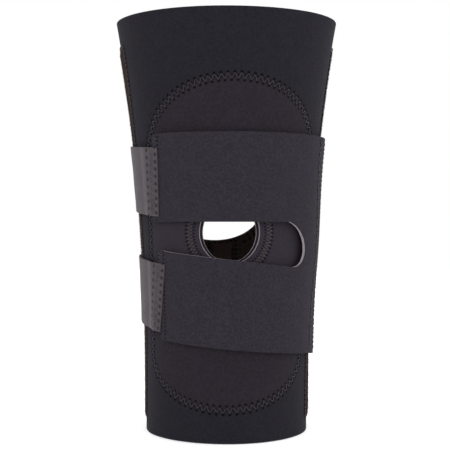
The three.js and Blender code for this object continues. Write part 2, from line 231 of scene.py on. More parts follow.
# Side strips: front and back are a strip's width on either side of its stay, and each STRIP_FRONT
# gives the angle of its front edge at the bottom and at the top, and the way to the leg's back.
# CHANNEL is the ridge over the stay: foot is half its width, of which slope is the sloping part.
STRIP = dict(low=12.0, high=285.0, front=35.0, back=25.0, thick=0.6, lift=0.3)
CHANNEL = dict(rise=2.3, foot=10.5, slope=6.0)
LOOP = dict(spacing=1.76, stray=0.45, reach=0.42, height=0.62, radius=0.10)
STRIP_FRONT = dict(medial=(-78.0, -72.5, -1), lateral=(73.0, 85.0, 1))
STAY = dict(low=40.5, high=257.5, half=3.25, turns=90, radius=0.24)

# The wrap: it splits into two straps at the angle SPLIT. SIDE_SCALE is its millimetres to a degree.
# STRAP_LEFT gives the angle of each free end at its lower and upper corner. STRAP_HINGE gives the
# body that each strap hangs from and the hinge's height: the bend runs from SPLIT to STRAP_BENT.
WRAP_THICK, WRAP_LIFT = 3.0, 1.5
SPLIT, REAR, FRONT_SEAM, REAR_SEAM = 40.0, 91.0, 69.5, 88.5
WRAP_PITCH, WRAP_SEAM_INSET, SIDE_SCALE = 6.8, 3.0, 1.2
WRAP_BULGE = dict(lift=2.4, theta=60.0, wide=35.0, z=138.0, tall=40.0)
UPPER_TOP, UPPER_BOTTOM = 218.3, 155.5
STRAP_LEFT = dict(upper=(-52.0, -46.5), lower=(-47.0, -47.0))
STRAP_LENGTH, STRAP_HEIGHT, STRAP_CORNER = 108.0, 62.0, 5.0
STRAP_HINGE, STRAP_BENT = dict(upper=("thigh", 187.0), lower=("calf", 93.0)), 27.0
LOWER_STRAP = dict(top=129.3, top_fall=0.131, bottom=66.5, bottom_fall=0.1086)

# Hook tabs: each is level on its strap, falls from TAB_BEND to TAB_DROP_END and lies on the strip.
# TAB_SEAM is the zigzag of the sewn end. TAB_HOLES are its two rows of needle holes, and nearer the
# tape's end than TAB_HOLE_SPLIT the first one counts. The tab peels off along TAB_PEEL.
TAB_THICK, TAB_HEIGHT, TAB_BEND, TAB_DROP_END = 1.0, 49.0, -51.5, -62.0
TABS = dict(upper=dict(low=159.0, right_top=-41.5, right_bottom=-43.5, end=-95.0),
            lower=dict(low=76.5, right_top=-40.0, right_bottom=-45.5, end=-97.0))
TAB_LENGTH, TAB_CORNER, TAB_PITCH = 66.0, 4.0, 5.2
TAB_SEAM = dict(middle=5.8, width=6.6, radius=0.30)
TAB_HOLES, TAB_HOLE_SPLIT = (1.7, 9.9), 6.5
TAB_PEEL = dict(theta_start=-50.0, theta_end=-56.0, d=5.0)
TAB_TILT = 0.1
HOOK_D, HOOK_BACKING, HOOK_START, HOOK_MARGIN = 1.2, 0.5, -65.0, 2.0
HOOK_ROOT = HOOK_D + HOOK_BACKING + 0.2
TAB_ON_STRAP = WRAP_LIFT + WRAP_THICK + 0.3
TAB_ON_STRIP = HOOK_D + HOOK_BACKING + 0.3

# The order of the draws settles every stitch and loop.
RNG = np.random.default_rng(7)


def smooth(t):
    """The smoothstep 3t^2 - 2t^3 of t held between 0 and 1."""
    t = np.clip(t, 0, 1)
    return t * t * (3 - 2 * t)


def mix(a, b, t):
    """a where t is 0 and b where t is 1, in a straight line between."""
    return a + (b - a) * t


def valley(distance, depth, width):
    """A bell-shaped valley round distance zero: depth times e to the minus (distance / width) squared."""
    return depth * np.exp(-(distance / width) ** 2)


def half_axes(z, d):
    """Half the width and half the depth of the leg form at height z: both grow with a power of z."""
    flare = (np.clip(z, 0, None) / HEIGHT) ** FLARE_POWER
    return WIDTH_BOTTOM + WIDTH_FLARE * flare + d, DEPTH_BOTTOM + DEPTH_FLARE * flare + d


def on_leg(theta, z, d):
    """Points on the leg form, in metres: an ellipse in plan, theta being its eccentric angle."""
    theta, z, d = np.broadcast_arrays(np.radians(theta), z, d)
    wide, deep = half_axes(z, d)
    return np.stack([wide * np.sin(theta), -deep * np.cos(theta), z], axis=-1) * MM


def normal_at(theta, z):
    """The unit vector that points straight out of the leg form: the cross product of its tangents."""
    step = 0.05
    across = on_leg(theta + step, z, 0.0) - on_leg(theta - step, z, 0.0)
    up = on_leg(theta, z + step, 0.0) - on_leg(theta, z - step, 0.0)
    out = np.cross(across, up)
    return out / np.linalg.norm(out, axis=-1, keepdims=True)


def per_degree(theta, z):
    """Millimetres of surface for each degree of theta."""
    wide, deep = half_axes(z, 0.0)
    return radians(1) * np.hypot(wide * np.cos(np.radians(theta)), deep * np.sin(np.radians(theta)))


def ease(theta, z):
    """The slight unevenness of worn neoprene, in millimetres: three slow waves added together."""
    t = np.radians(theta)
    waves = (0.16, 3 * t + z / 37), (0.12, 5 * t - z / 29 + 1), (0.08, 2 * t + z / 17 + 2)
    return sum(height * np.sin(phase) for height, phase in waves)


# ---- Outlines: closed lines on the leg form, as theta and z ----
class Outline:
    """A closed line sampled evenly by length. Its normal points away from the inside."""

    def __init__(self, theta, z):
        close = lambda a: np.append(a, a[0])
        theta, z = close(theta), close(z)
        scale = per_degree(theta, z)
        step = np.hypot(np.diff(theta) * (scale[1:] + scale[:-1]) / 2, np.diff(z))
        along = np.concatenate([[0], np.cumsum(step)])
        self.length = along[-1]
        self.even = np.linspace(0, self.length, 4097)
        self.theta = np.interp(self.even, along, theta)
        self.z = np.interp(self.even, along, z)

    def at(self, along, out=0.0):
        """Theta and z at a length along the line, moved out by some millimetres."""
        along = np.mod(along, self.length)
        read = lambda a, values: np.interp(np.mod(a, self.length), self.even, values)
        theta, z = read(along, self.theta), read(along, self.z)
        scale = per_degree(theta, z)
        ahead, behind = along + 0.6, along - 0.6
        east = (read(ahead, self.theta) - read(behind, self.theta)) * scale
        north = read(ahead, self.z) - read(behind, self.z)
        size = np.hypot(east, north)
        return theta + out * north / size / scale, z - out * east / size

    def towards(self, theta, z, centre, aspect):
        """The length along the line in the direction of each given point, as seen from the centre."""
        line = np.arctan2((self.z - centre[1]) / aspect, (self.theta - centre[0]))[:-1]
        wanted = np.arctan2((z - centre[1]) / aspect, (theta - centre[0]))
        order = np.argsort(line)
        return np.interp(wanted, line[order], self.even[:-1][order], period=TURN)


def ellipse(theta, z, half_width, half_height):
    """An ellipse round theta and z, its half axes in millimetres."""
    turn = np.linspace(0, TURN, 1440, endpoint=False)
    return Outline(theta + half_width / MM_PER_DEGREE * np.cos(turn), z + half_height * np.sin(turn))


def panel_outline():
    """The front panel: an arch above, a flatter bowl below, and straight sides that lean between them."""
    form = PANEL_FORM
    turn = np.linspace(0, TURN, 2880, endpoint=False)
    up = np.sin(turn)
    arch = form["arch"] + form["rise"] * up
    bowl = form["bowl"] - form["fall"] * np.abs(up) ** 1.2
    z = mix(bowl, arch, np.clip(0.5 + up / 0.3, 0, 1))
    upwards = np.clip((z - form["bowl"]) / (form["arch"] - form["bowl"]), 0, 1)
    return Outline(form["lean"] * upwards + form["half_angle"] * np.cos(turn), z)


def kneecap(radius):
    """A circle round the kneecap, a little wider in angle because the cloth curves away on both sides."""
    return ellipse(KNEECAP["theta"], KNEECAP["z"], radius * KNEECAP["stretch"], radius)


PANEL = panel_outline()
BEHIND_KNEE = ellipse(HOLLOW["theta"], HOLLOW["z"], HOLLOW["half_width"], HOLLOW["half_height"])


# ---- Meshes ----
def grid_faces(rows, cols, close=False):
    """Quads of a grid of rows by cols points, four point numbers each. close joins the last column
    to the first."""
    r, c = np.meshgrid(np.arange(rows - 1), np.arange(cols if close else cols - 1), indexing="ij")
    r, c = r.ravel(), c.ravel()
    after = (c + 1) % cols
    return np.stack([r * cols + c, r * cols + after, (r + 1) * cols + after, (r + 1) * cols + c], axis=1)


def new_object(name, data):
    """An object in the scene."""
    made = bpy.data.objects.new(name, data)
    bpy.context.scene.collection.objects.link(made)
    return made


def new_mesh(name, points, faces, maps):
    """A smooth mesh from lists. maps holds u and v for each corner of each face, by the map's name."""
    mesh = bpy.data.meshes.new(name)
    mesh.from_pydata(points, [], faces)
    for label, values in maps.items():
        layer = mesh.uv_layers.new(name=label)
        layer.data.foreach_set("uv", np.asarray(values, np.float32).ravel())
    mesh.polygons.foreach_set("use_smooth", np.ones(len(mesh.polygons), bool))
    return mesh


def make_mesh(name, points, faces, cloth=None, seam=None, slots=None, sharp=40):
    """A mesh object from arrays. Edges sharper than the angle stay sharp."""
    maps = {label: values for label, values in (("Cloth", cloth), ("Seam", seam)) if values is not None}
    mesh = new_mesh(name, points.tolist(), faces.tolist(), maps)
    if slots is not None:
        mesh.polygons.foreach_set("material_index", np.asarray(slots, np.int32))
    mesh.set_sharp_from_angle(angle=radians(sharp))
    mesh.update()
    return new_object(name, mesh)


def side_strip(first, second, flip):
    """Quads between two lines of point numbers."""
    faces = np.stack([first[:-1], first[1:], second[1:], second[:-1]], axis=1)
    return faces[:, ::-1] if flip else faces


def slab_arrays(outer, inner, cloth, seam, closed, rims, inner_finish=0):
    """A sheet with thickness from two grids of points. rims says which of the four borders get a cut
    edge: first row, last row, first column, last column. Returns points, faces, corner u and v, and
    each face's finish: 0 for the outer face, 1 for cut foam and inner_finish for the inner face."""
    rows, cols = outer.shape[:2]
    points = np.concatenate([outer.reshape(-1, 3), inner.reshape(-1, 3)])
    count = rows * cols
    number = np.arange(count).reshape(rows, cols)
    if closed:
        number = np.concatenate([number, number[:, :1]], axis=1)
    wide = number.shape[1]
    flat = np.arange(rows * wide).reshape(rows, wide)
    around = lambda ids: (ids[:-1, :-1], ids[:-1, 1:], ids[1:, 1:], ids[1:, :-1])
    corner = lambda ids: np.stack(around(ids), axis=-1).reshape(-1, 4)
    faces = [corner(number), corner(number)[:, ::-1] + count]
    values = [corner(flat), corner(flat)[:, ::-1]]
    foam = [np.zeros(len(faces[0])), np.full(len(faces[1]), inner_finish)]
    borders = [(number[0], flat[0], True), (number[-1], flat[-1], False),
               (number[:, 0], flat[:, 0], False), (number[:, -1], flat[:, -1], True)]
    for wanted, (ids, uv_ids, flip) in zip(rims, borders):
        if wanted:
            faces.append(side_strip(ids, ids + count, not flip))
            values.append(side_strip(uv_ids, uv_ids, not flip))
            foam.append(np.full(len(ids) - 1, wanted == "foam"))
    pick = np.concatenate(values)
    return (points, np.concatenate(faces), cloth.reshape(-1, 2)[pick], seam.reshape(-1, 2)[pick],
            np.concatenate(foam).astype(int))


def face_out(piece):
    """Turns a closed mesh's faces outwards if its volume comes out negative."""
    mesh = piece.data
    mesh.calc_loop_triangles()
    co = np.zeros(len(mesh.vertices) * 3, np.float32)
    mesh.vertices.foreach_get("co", co)
    tri = np.zeros(len(mesh.loop_triangles) * 3, np.int32)
    mesh.loop_triangles.foreach_get("vertices", tri)
    a, b, c = co.reshape(-1, 3)[tri.reshape(-1, 3)].transpose(1, 0, 2).astype(float)
    if (a * np.cross(b, c)).sum() < 0:
        mesh.flip_normals()
    return piece


def edge_steps(length, cell):
    """Distances from 0 to length: close together at both ends for the rounded edges, even between."""
    ends = np.array([0, 0.2, 0.45, EDGE_ROUND, 1.4])
    middle = np.linspace(2.4, length - 2.4, max(2, int(round((length - 4.8) / cell)) + 1))
    return np.concatenate([ends, middle, length - ends[::-1]])


def edge_round(distance):
    """How much a sheet thins at its cut edge: a quarter circle of radius EDGE_ROUND."""
    t = np.clip(1 - distance / EDGE_ROUND, 0, 1)
    return EDGE_ROUND * (1 - np.sqrt(1 - t * t))


def cloth_map(theta, z):
    """The u and v of a piece of cloth, in millimetres."""
    return np.stack([theta * MM_PER_DEGREE, z], axis=-1)


def close_columns(values):
    """A grid with its first column repeated at the end."""
    return np.concatenate([values, values[:, :1]], axis=1)


def slab(name, theta, z, low, high, edge, closed=False, rims=ALL_FOAM, seam=None, wavy=True, sharp=40):
    """A sheet on the leg form. theta and z are grids, low and high its two depths, and edge the
    distance of each point from the nearest cut edge, where the sheet rounds off."""
    rise = ease(theta, z) if wavy else 0.0
    worn = edge_round(edge)
    outer = on_leg(theta, z, high + rise - worn)
    inner = on_leg(theta, z, low + rise + 0.6 * worn)
    cloth = close_columns(cloth_map(theta, z)) if closed else cloth_map(theta, z)
    if seam is None:
        seam = np.full(cloth.shape, FAR_SEAM)
    points, faces, cloth, seam, foam = slab_arrays(outer, inner, cloth, seam, closed, rims)
    return face_out(make_mesh(name, points, faces, cloth, seam, foam, sharp))


def tube(points, normals, radius, sides=6, closed=False):
    """A round cord along points. Each ring lies in the plane of the normal and of the sideways vector."""
    along = np.roll(points, -1, 0) - np.roll(points, 1, 0)
    if not closed:
        along[0], along[-1] = points[1] - points[0], points[-1] - points[-2]
    along /= np.linalg.norm(along, axis=1, keepdims=True)
    side = np.cross(along, normals)
    side /= np.linalg.norm(side, axis=1, keepdims=True)
    up = np.cross(side, along)
    turn = np.arange(sides) / sides * TURN
    ring = side[:, None] * np.cos(turn)[None, :, None] + up[:, None] * np.sin(turn)[None, :, None]
    rings = points[:, None] + np.asarray(radius).reshape(-1, 1, 1) * ring
    count = len(points)
    faces = grid_faces(count + (1 if closed else 0), sides, close=True)
    faces = faces % (count * sides)
    verts = rings.reshape(-1, 3)
    uv = tube_map(points, sides, len(faces) // sides)
    if not closed:
        caps = [np.arange(sides), (count - 1) * sides + np.arange(sides)]
        ends = np.stack([points[0], points[-1]])
        verts = np.concatenate([verts, ends])
        for tip, ids in zip((count * sides, count * sides + 1), caps):
            fan = np.stack([ids, np.roll(ids, -1), np.full(sides, tip), np.full(sides, tip)], axis=1)
            faces = np.concatenate([faces, fan[:, ::-1] if tip == count * sides else fan])
            uv = np.concatenate([uv, np.zeros((sides * 4, 2))])
    return verts, faces, uv


def tube_map(points, sides, stretches):
    """Corner u and v of a tube's quads: u is the length along it in millimetres, v goes once round."""
    step = np.concatenate([[0], np.cumsum(np.linalg.norm(np.diff(points, axis=0), axis=1))]) / MM
    after = np.append(step, step[-1] + 0.5)
    row = np.repeat(np.arange(stretches), sides)
    col = np.tile(np.arange(sides), stretches)
    u = np.stack([after[row], after[row], after[row + 1], after[row + 1]], axis=1)
    v = np.stack([col, col + 1, col + 1, col], axis=1) / sides
    return np.stack([u, v], axis=-1).reshape(-1, 2)


def mesh_of_tubes(name, parts):
    """One mesh from several tubes. A cap's repeated corner is dropped, which leaves a triangle."""
    verts, faces, uvs, offset = [], [], [], 0
    for v, f, uv in parts:
        verts.append(v)
        faces.extend([[a, b, c] if c == d else [a, b, c, d] for a, b, c, d in (f + offset).tolist()])
        keep = np.ones((len(f), 4), bool)
        keep[:, 3] = f[:, 2] != f[:, 3]
        uvs.append(uv.reshape(-1, 4, 2)[keep])
        offset += len(v)
    mesh = new_mesh(name, np.concatenate(verts).tolist(), faces, {"Cloth": np.concatenate(uvs)})
    return face_out(new_object(name, mesh))


# ---- Materials ----
def operation(name, swapped=False):
    """A method of Value that links one math node."""
    def link(self, other):
        values = (other, self) if swapped else (self, other)
        return self.finish.math(name, *values)
    return link


class Value:
    """A number socket that can be added, subtracted, multiplied and divided in a Python expression."""

    def __init__(self, finish, socket):
        self.finish, self.socket = finish, socket

    __add__, __radd__ = operation("ADD"), operation("ADD", swapped=True)
    __sub__, __rsub__ = operation("SUBTRACT"), operation("SUBTRACT", swapped=True)
    __mul__, __truediv__ = operation("MULTIPLY"), operation("DIVIDE")


class Finish:
    """A node material under construction. Colours are linear."""

    def __init__(self, name, roughness, sheen=0.0, sheen_tint=(1, 1, 1), metallic=0.0, specular=0.35):
        self.material = bpy.data.materials.new(name)
        self.material.use_nodes = True
        self.tree = self.material.node_tree
        self.shader = self.tree.nodes["Principled BSDF"]
        inputs = self.shader.inputs
        inputs["Roughness"].default_value = roughness
        inputs["Sheen Weight"].default_value = sheen
        inputs["Sheen Roughness"].default_value = 0.45
        inputs["Sheen Tint"].default_value = (*sheen_tint, 1)
        inputs["Metallic"].default_value = metallic
        inputs["Specular IOR Level"].default_value = specular

    def node(self, kind, settings=None, **sockets):
        """Any node: its type, its settings, then the values or links of its sockets (i0 is the first)."""
        made = self.tree.nodes.new(kind)
        for key, value in (settings or {}).items():
            setattr(made, key, value)
        for key, value in sockets.items():
            target = made.inputs[int(key[1:])] if key[0] == "i" and key[1:].isdigit() else made.inputs[key]
            self.plug(target, value)
        return made

    def plug(self, target, value):
        """Links a value to a socket, or sets a plain number or colour on it."""
        if isinstance(value, Value):
            value = value.socket
        if isinstance(value, bpy.types.NodeSocket):
            self.tree.links.new(value, target)
        else:
            target.default_value = value

    def math(self, kind, *values):
        """One math node, such as SINE or PINGPONG."""
        made = self.node("ShaderNodeMath", {"operation": kind})
        for target, value in zip(made.inputs, values):
            self.plug(target, value)
        return Value(self, made.outputs[0])

    def uv(self, layer):
        """The u and v of a UV map, in millimetres on cloth maps."""
        source = self.node("ShaderNodeUVMap", {"uv_map": layer})
        parts = self.node("ShaderNodeSeparateXYZ", i0=source.outputs[0])
        return Value(self, parts.outputs[0]), Value(self, parts.outputs[1])

    def place(self):
        """The object's own coordinates."""
        return self.node("ShaderNodeTexCoord").outputs["Object"]

    def part(self, axis):
        """One of the object's own coordinates, X, Y or Z, in metres."""
        return Value(self, self.node("ShaderNodeSeparateXYZ", i0=self.place()).outputs[axis])

    def noise(self, scale, detail=2.0):
        """Cloudy noise from 0 to 1, with the given number of clouds to a metre."""
        made = self.node("ShaderNodeTexNoise", {}, Vector=self.place(), Scale=scale, Detail=detail)
        return Value(self, made.outputs[0])

    def wave(self, value, period):
        """A sine of a length in millimetres, from 0 to 1."""
        return self.math("SINE", value * (TURN / period)) * 0.5 + 0.5

    def step(self, value, low, high):
        """0 below low and 1 above high, with a smooth rise between."""
        made = self.node("ShaderNodeMapRange", {"interpolation_type": "SMOOTHSTEP"})
        for target, given in zip(made.inputs, (value, low, high, 0.0, 1.0)):
            self.plug(target, given)
        return Value(self, made.outputs[0])

    def blend(self, amount, first, second):
        """A mix of two colours."""
        made = self.node("ShaderNodeMix", {"data_type": "RGBA"})
        self.plug(made.inputs[0], amount)
        for target, given in ((made.inputs[6], first), (made.inputs[7], second)):
            self.plug(target, given if not isinstance(given, tuple) else (*given, 1))
        return made.outputs[2]

    def done(self, color, height, depth, roughness=None):
        """Links the colour, a bump of the given depth in metres, and the roughness if it varies."""
        bump = self.node("ShaderNodeBump", {}, Strength=1.0, Distance=depth, Height=height)
        self.plug(self.shader.inputs["Base Color"], color if not isinstance(color, tuple) else (*color, 1))
        self.tree.links.new(bump.outputs[0], self.shader.inputs["Normal"])
        if roughness is not None:
            self.plug(self.shader.inputs["Roughness"], roughness)
        return self.material


def shade(color, factor):
    """A colour made darker or paler by a factor."""
    return tuple(c * factor for c in color)


def knit(finish):
    """The V shapes of a fine jersey knit: two slanting ribs that meet in a column of loops."""
    column_width, row_height = 0.45, 0.75
    u, v = finish.uv("Cloth")
    column = finish.math("PINGPONG", u, column_width)
    loops = finish.wave(v + column * 0.9, row_height)
    ribs = finish.math("SINE", column * (pi / column_width))
    return loops * 0.6 + ribs * 0.4


def needle_holes(finish, size=1.0):
    """Dark pricks along a seam: one where the seam map's u is a whole number of stitches and v, the
    distance from the nearest row of holes, is zero."""
    u, v = finish.uv("Seam")
    along = finish.math("PINGPONG", u, 0.5) * STITCH["pitch"]
    away = finish.math("SQRT", v * v + along * along)
    return 1 - finish.step(away, HOLE_RADIUS * size, HOLE_FADE * size)


def jersey(name, color, sheen, stretched=False):
    """Neoprene's knitted face: a fine knit, slow changes of tone, paler rubbed patches and needle holes.
    With stretched set, painted light makes a pale band across mid height, round the kneecap."""
    finish = Finish(name, 0.9, sheen=sheen, sheen_tint=(0.86, 0.80, 0.95), specular=0.05)
    weave = knit(finish)
    grain = finish.step(finish.noise(640, 2), 0.34, 0.66)
    cloud = finish.noise(28, 4)
    rub = finish.step(finish.noise(90, 5), 0.50, 0.78)
    holes = needle_holes(finish)
    base = finish.blend(grain, shade(color, 0.72), shade(color, 1.28))
    base = finish.blend(cloud * 0.5, base, shade(color, 0.80))
    base = finish.blend(weave * 0.35, base, shade(color, 1.35))
    base = finish.blend(rub * 0.25, base, shade(color, 1.5))
    # painted light: a pale band across mid height that stands for reflected light, not a colour of the cloth
    if stretched:
        height_mm = finish.part("Z") / MM
        knee = finish.step(height_mm, 80, 135) - finish.step(height_mm, 160, 215)
        base = finish.blend(knee * 0.5, base, shade(color, 1.9))
    base = finish.blend(holes * 0.92, base, shade(color, 0.10))
    height = weave * 0.5 + grain * 0.8 - holes * 3
    return finish.done(base, height, 0.00014)


def foam_edge():
    """The cut edge: a grey-lilac sponge with open cells between two dark cloth faces."""
    finish = Finish("foam_edge", 0.85, sheen=0.1)
    cells = finish.node("ShaderNodeTexVoronoi", {}, Vector=finish.place(), Scale=2600.0)
    pores = Value(finish, cells.outputs["Distance"])
    grime = finish.noise(160, 4)
    base = finish.blend(grime, (0.20, 0.17, 0.20), (0.42, 0.37, 0.42))
    base = finish.blend(finish.step(pores, 0.35, 0.7) * 0.5, base, (0.12, 0.10, 0.12))
    return finish.done(base, pores, 0.0001)


def hook_tape():
    """Woven hook tape seen from its back: close ribs along the tape, crossed by finer picks."""
    finish = Finish("hook_tape", 0.7, sheen=0.05, specular=0.12)
    u, v = finish.uv("Cloth")
    ribs = finish.wave(v, 1.15)
    picks = finish.wave(u + ribs * 0.3, 0.7)
    scuff = finish.step(finish.noise(130, 5), 0.5, 0.75)
    tone = finish.noise(35, 3)
    holes = needle_holes(finish, 1.2)
    base = finish.blend(tone, (0.040, 0.031, 0.037), (0.055, 0.044, 0.051))
    base = finish.blend(ribs * picks * 0.35, base, (0.090, 0.077, 0.084))
    base = finish.blend(scuff * 0.2, base, (0.105, 0.090, 0.099))
    base = finish.blend(holes * 0.9, base, (0.010, 0.008, 0.010))
    return finish.done(base, ribs * 0.6 + picks * 0.4 - holes * 2, 0.00012, 0.62 + scuff * 0.2)


def hook_plastic():
    """Moulded nylon hooks: a translucent-looking grey with a slight shine."""
    finish = Finish("hook_plastic", 0.38, specular=0.5)
    tone = finish.noise(400, 2)
    return finish.done(finish.blend(tone, (0.085, 0.075, 0.085), (0.13, 0.115, 0.125)), tone, 0.00004)


def loop_pile():
    """Brushed loop pile: brown-black fibres in tufts, with paler fibre tips."""
    finish = Finish("loop_pile", 0.95, sheen=0.03, sheen_tint=(0.95, 0.82, 0.80), specular=0.03)
    tufts = finish.noise(700, 5)
    patches = finish.noise(45, 4)
    base = finish.blend(patches, (0.014, 0.008, 0.007), (0.026, 0.015, 0.013))
    base = finish.blend(finish.step(tufts, 0.5, 0.75) * 0.6, base, (0.058, 0.036, 0.032))
    return finish.done(base, tufts, 0.0006)


def thread(name, color, shine=0.12):
    """Twisted thread: slanting plies that run along the stitch, with stray fibres."""
    finish = Finish(name, 0.5, sheen=0.05, specular=shine)
    u, v = finish.uv("Cloth")
    plies = finish.math("SINE", u * (TURN / 0.9) + v * TURN) * 0.5 + 0.5
    fuzz = finish.noise(1500, 2)
    base = finish.blend(plies, shade(color, 0.55), shade(color, 1.3))
    base = finish.blend(fuzz * 0.3, base, shade(color, 1.8))
    return finish.done(base, plies + fuzz * 0.3, 0.0001)


def stay_steel():
    """Drawn spring steel: fine marks along the wire, and a few dull spots."""
    finish = Finish("stay_steel", 0.32, metallic=1.0, specular=0.5)
    marks = finish.noise(1200, 3)
    dull = finish.step(finish.noise(200, 3), 0.5, 0.7)
    base = finish.blend(marks, (0.42, 0.43, 0.45), (0.62, 0.63, 0.64))
    return finish.done(base, marks, 0.00003, 0.28 + dull * 0.25)


def label_cloth():
    """A plain woven satin label: fine floats across its width."""
    finish = Finish("label_cloth", 0.45, sheen=0.2)
    u, v = finish.uv("Cloth")
    floats = finish.wave(v, 0.5) * 0.7 + finish.wave(u, 0.35) * 0.3
    tone = finish.noise(150, 3)
    base = finish.blend(floats, (0.024, 0.010, 0.007), (0.050, 0.024, 0.018))
    return finish.done(finish.blend(tone * 0.4, base, (0.075, 0.045, 0.038)), floats, 0.00006)


def floor_paint():
    """Pale matt paint that glows a little, so that the floor is as pale as what surrounds it."""
    finish = Finish("floor_paint", 0.8)
    haze = finish.noise(3, 2)
    finish.shader.inputs["Emission Color"].default_value = (1, 1, 1, 1)
    finish.shader.inputs["Emission Strength"].default_value = 0.35
    return finish.done(finish.blend(haze, (0.86, 0.86, 0.87), (0.90, 0.90, 0.90)), haze, 0.00001)


FOAM = foam_edge()
JERSEY = jersey("sleeve_jersey", (0.0117, 0.0109, 0.0147), 0.03)
# stretched=True gives the front panel the painted pale band of light across mid height
PANEL_JERSEY = jersey("panel_jersey", (0.0156, 0.0129, 0.0176), 0.03, stretched=True)
# The inner face's warm brown is partly the lining's own colour and partly painted light, standing for warm light
# bounced inside the tube.
INNER_JERSEY = jersey("inner_jersey", (0.0440, 0.0330, 0.0310), 0.0)
WRAP_JERSEY = jersey("wrap_jersey", (0.0202, 0.0182, 0.0236), 0.03)
LINING = jersey("ring_jersey", (0.0150, 0.0125, 0.0155), 0.07)
TAPE, HOOKS, PILE, STEEL, LABEL_CLOTH = hook_tape(), hook_plastic(), loop_pile(), stay_steel(), label_cloth()
SEAM_THREAD = thread("seam_thread", (0.024, 0.019, 0.026), 0.2)
RING_THREAD = thread("ring_thread", (0.052, 0.041, 0.046))
TAB_THREAD = thread("tab_thread", (0.052, 0.044, 0.049))


def dress(piece, slot, materials, nodes=(), bend=None):
    """Gives a piece its materials, its slot, the CAD nodes it stands for and its bend at the knee."""
    for material in materials:
        piece.data.materials.append(material)
    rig.slot(piece, slot)
    if nodes:
        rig.replaces(piece, *nodes)
    if bend:
        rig.blend(piece, "calf", "thigh", *bend)


# ---- Stitching ----
def zigzag(line, length, width, pitch, radius, surface, closed=False, lift=1.0):
    """A zigzag thread. line(along, out) gives theta and z, and surface(theta, z) the depth that it
    lies on. It crosses over and back once in each pitch, and each stroke is a short arch that dives
    into the cloth at both ends."""
    strokes = 2 * max(2, int(round(length / pitch)))
    count = np.arange(strokes if closed else strokes + 1)
    knots = (count[:, None] + STROKE[None, :]).ravel()
    if not closed:
        knots = knots[: strokes * len(STROKE) + 1]
    rise = np.resize(STROKE_RISE, len(knots)) * lift
    side = 1 - 2 * np.abs(np.mod(knots, 2) - 1)
    whole = np.floor(knots).astype(int) % strokes
    uneven = 1 + 0.07 * RNG.standard_normal(strokes)
    shift = 0.09 * RNG.standard_normal(strokes)
    side, knots = side * uneven[whole], knots + shift[whole]
    theta, z = line(knots / strokes * length, side * width / 2)
    points = on_leg(theta, z, surface(theta, z) + rise)
    return tube(points, normal_at(theta, z), radius * MM, closed=closed)


def straight(theta_at, low, high):
    """A line up the leg at theta_at(z), as zigzag wants it."""
    def line(along, out):
        z = low + along
        theta = theta_at(z)
        return theta + out / per_degree(theta, z), z
    return line, high - low


# ---- Sleeve and front panel ----
def seam_groove(out, along):
    """Cloth pulled down at a stitched joint, in millimetres: a valley, puckered once a stitch."""
    pucker = 0.10 * np.cos(TURN * along / STITCH["pitch"]) * valley(np.abs(out) - 3, 1.0, 2.2)
    return valley(out, SEAM_SINK, 1.7) - pucker


def frame_line(theta_left, theta_right):
    """The border of half a sleeve, anticlockwise from its bottom right corner: up the right side, left
    along the top, down the left side and right along the bottom. It stops short of both rims."""
    up = np.linspace(RIM, HEIGHT - RIM, SIDE_CELLS + 1)
    across = np.linspace(theta_right, theta_left, RIM_CELLS + 1)
    level = np.ones(RIM_CELLS)
    upright = np.ones(SIDE_CELLS)
    z = np.concatenate([up[:-1], level * up[-1], up[::-1][:-1], level * up[0]])
    theta = np.concatenate([upright * theta_right, across[:-1], upright * theta_left, across[::-1][:-1]])
    return theta, z


def stack_rows(rows):
    """Two grids, of theta and of z, from rows that give both."""
    return (np.array([row[k] for row in rows]) for k in (0, 1))


def sleeve_half(outline, theta_left, theta_right):
    """Half of the sleeve round an opening: rows run from the opening's outline to the half's border.
    Close to the outline a row is the outline moved outwards; further out it is part way to the border."""
    border_theta, border_z = frame_line(theta_left, theta_right)
    centre = ((outline.theta.max() + outline.theta.min()) / 2, (outline.z.max() + outline.z.min()) / 2)
    along = outline.towards(border_theta, border_z, centre, HEIGHT / 180)
    rows = [outline.at(along, out) for out in SEAM_STEPS]
    start_theta, start_z = rows[-1]
    shares = np.linspace(0, 1, 27)[1:]
    rows += [(mix(start_theta, border_theta, t), mix(start_z, border_z, t)) for t in shares]
    theta, z = stack_rows(rows)
    out = np.full(theta.shape, FAR_SEAM)
    out[: len(SEAM_STEPS)] = SEAM_STEPS[:, None]
    return theta, z, out, np.broadcast_to(along, theta.shape)


def seam_map(along, from_holes, length, shift, pitch=STITCH["pitch"]):
    """The seam map of a closed seam: stitches along it, shifted for the side that they start on, and
    the distance from its holes."""
    along, from_holes = np.broadcast_arrays(along, from_holes)
    return np.stack([along * round(length / pitch) / length + shift, from_holes], axis=-1)


def sleeve_part(theta, z, out, along, stitched, rims):
    """The outer and inner face of a part of the sleeve, as slab_arrays gives them."""
    sink = seam_groove(out, along) * (1.0 if stitched else 0.0)
    back = np.abs(theta - BACK_SEAM) * per_degree(theta, z)
    sink = sink + valley(back, 0.55, 1.4)
    edge = np.minimum(z, HEIGHT - z)
    if not stitched:
        edge = np.minimum(edge, out)
    worn = edge_round(edge)
    rise = ease(theta, z)
    outer = on_leg(theta, z, rise - worn - sink)
    inner = on_leg(theta, z, -NEOPRENE + rise + 0.6 * worn + 0.4 * sink)
    if stitched:
        seam = seam_map(along, out - STITCH["width"] / 2 - HOLE_OUT, PANEL.length, 0.5)
    else:
        by_back = back < 8
        beside = np.where(out < FAR_SEAM, np.abs(out - HOLLOW["seam"]) - 1.8, FAR_SEAM)
        seam = np.stack([np.where(by_back, z / BACK_STITCH["pitch"], along / STITCH["pitch"]),
                         np.where(by_back, back - BACK_STITCH["width"] / 2, beside)], axis=-1)
    seam = close_columns(seam)
    if stitched:
        seam[:, -1, 0] = seam[:, 0, 0]
    cloth = close_columns(cloth_map(theta, z))
    return slab_arrays(outer, inner, cloth, seam, True, rims, inner_finish=2)


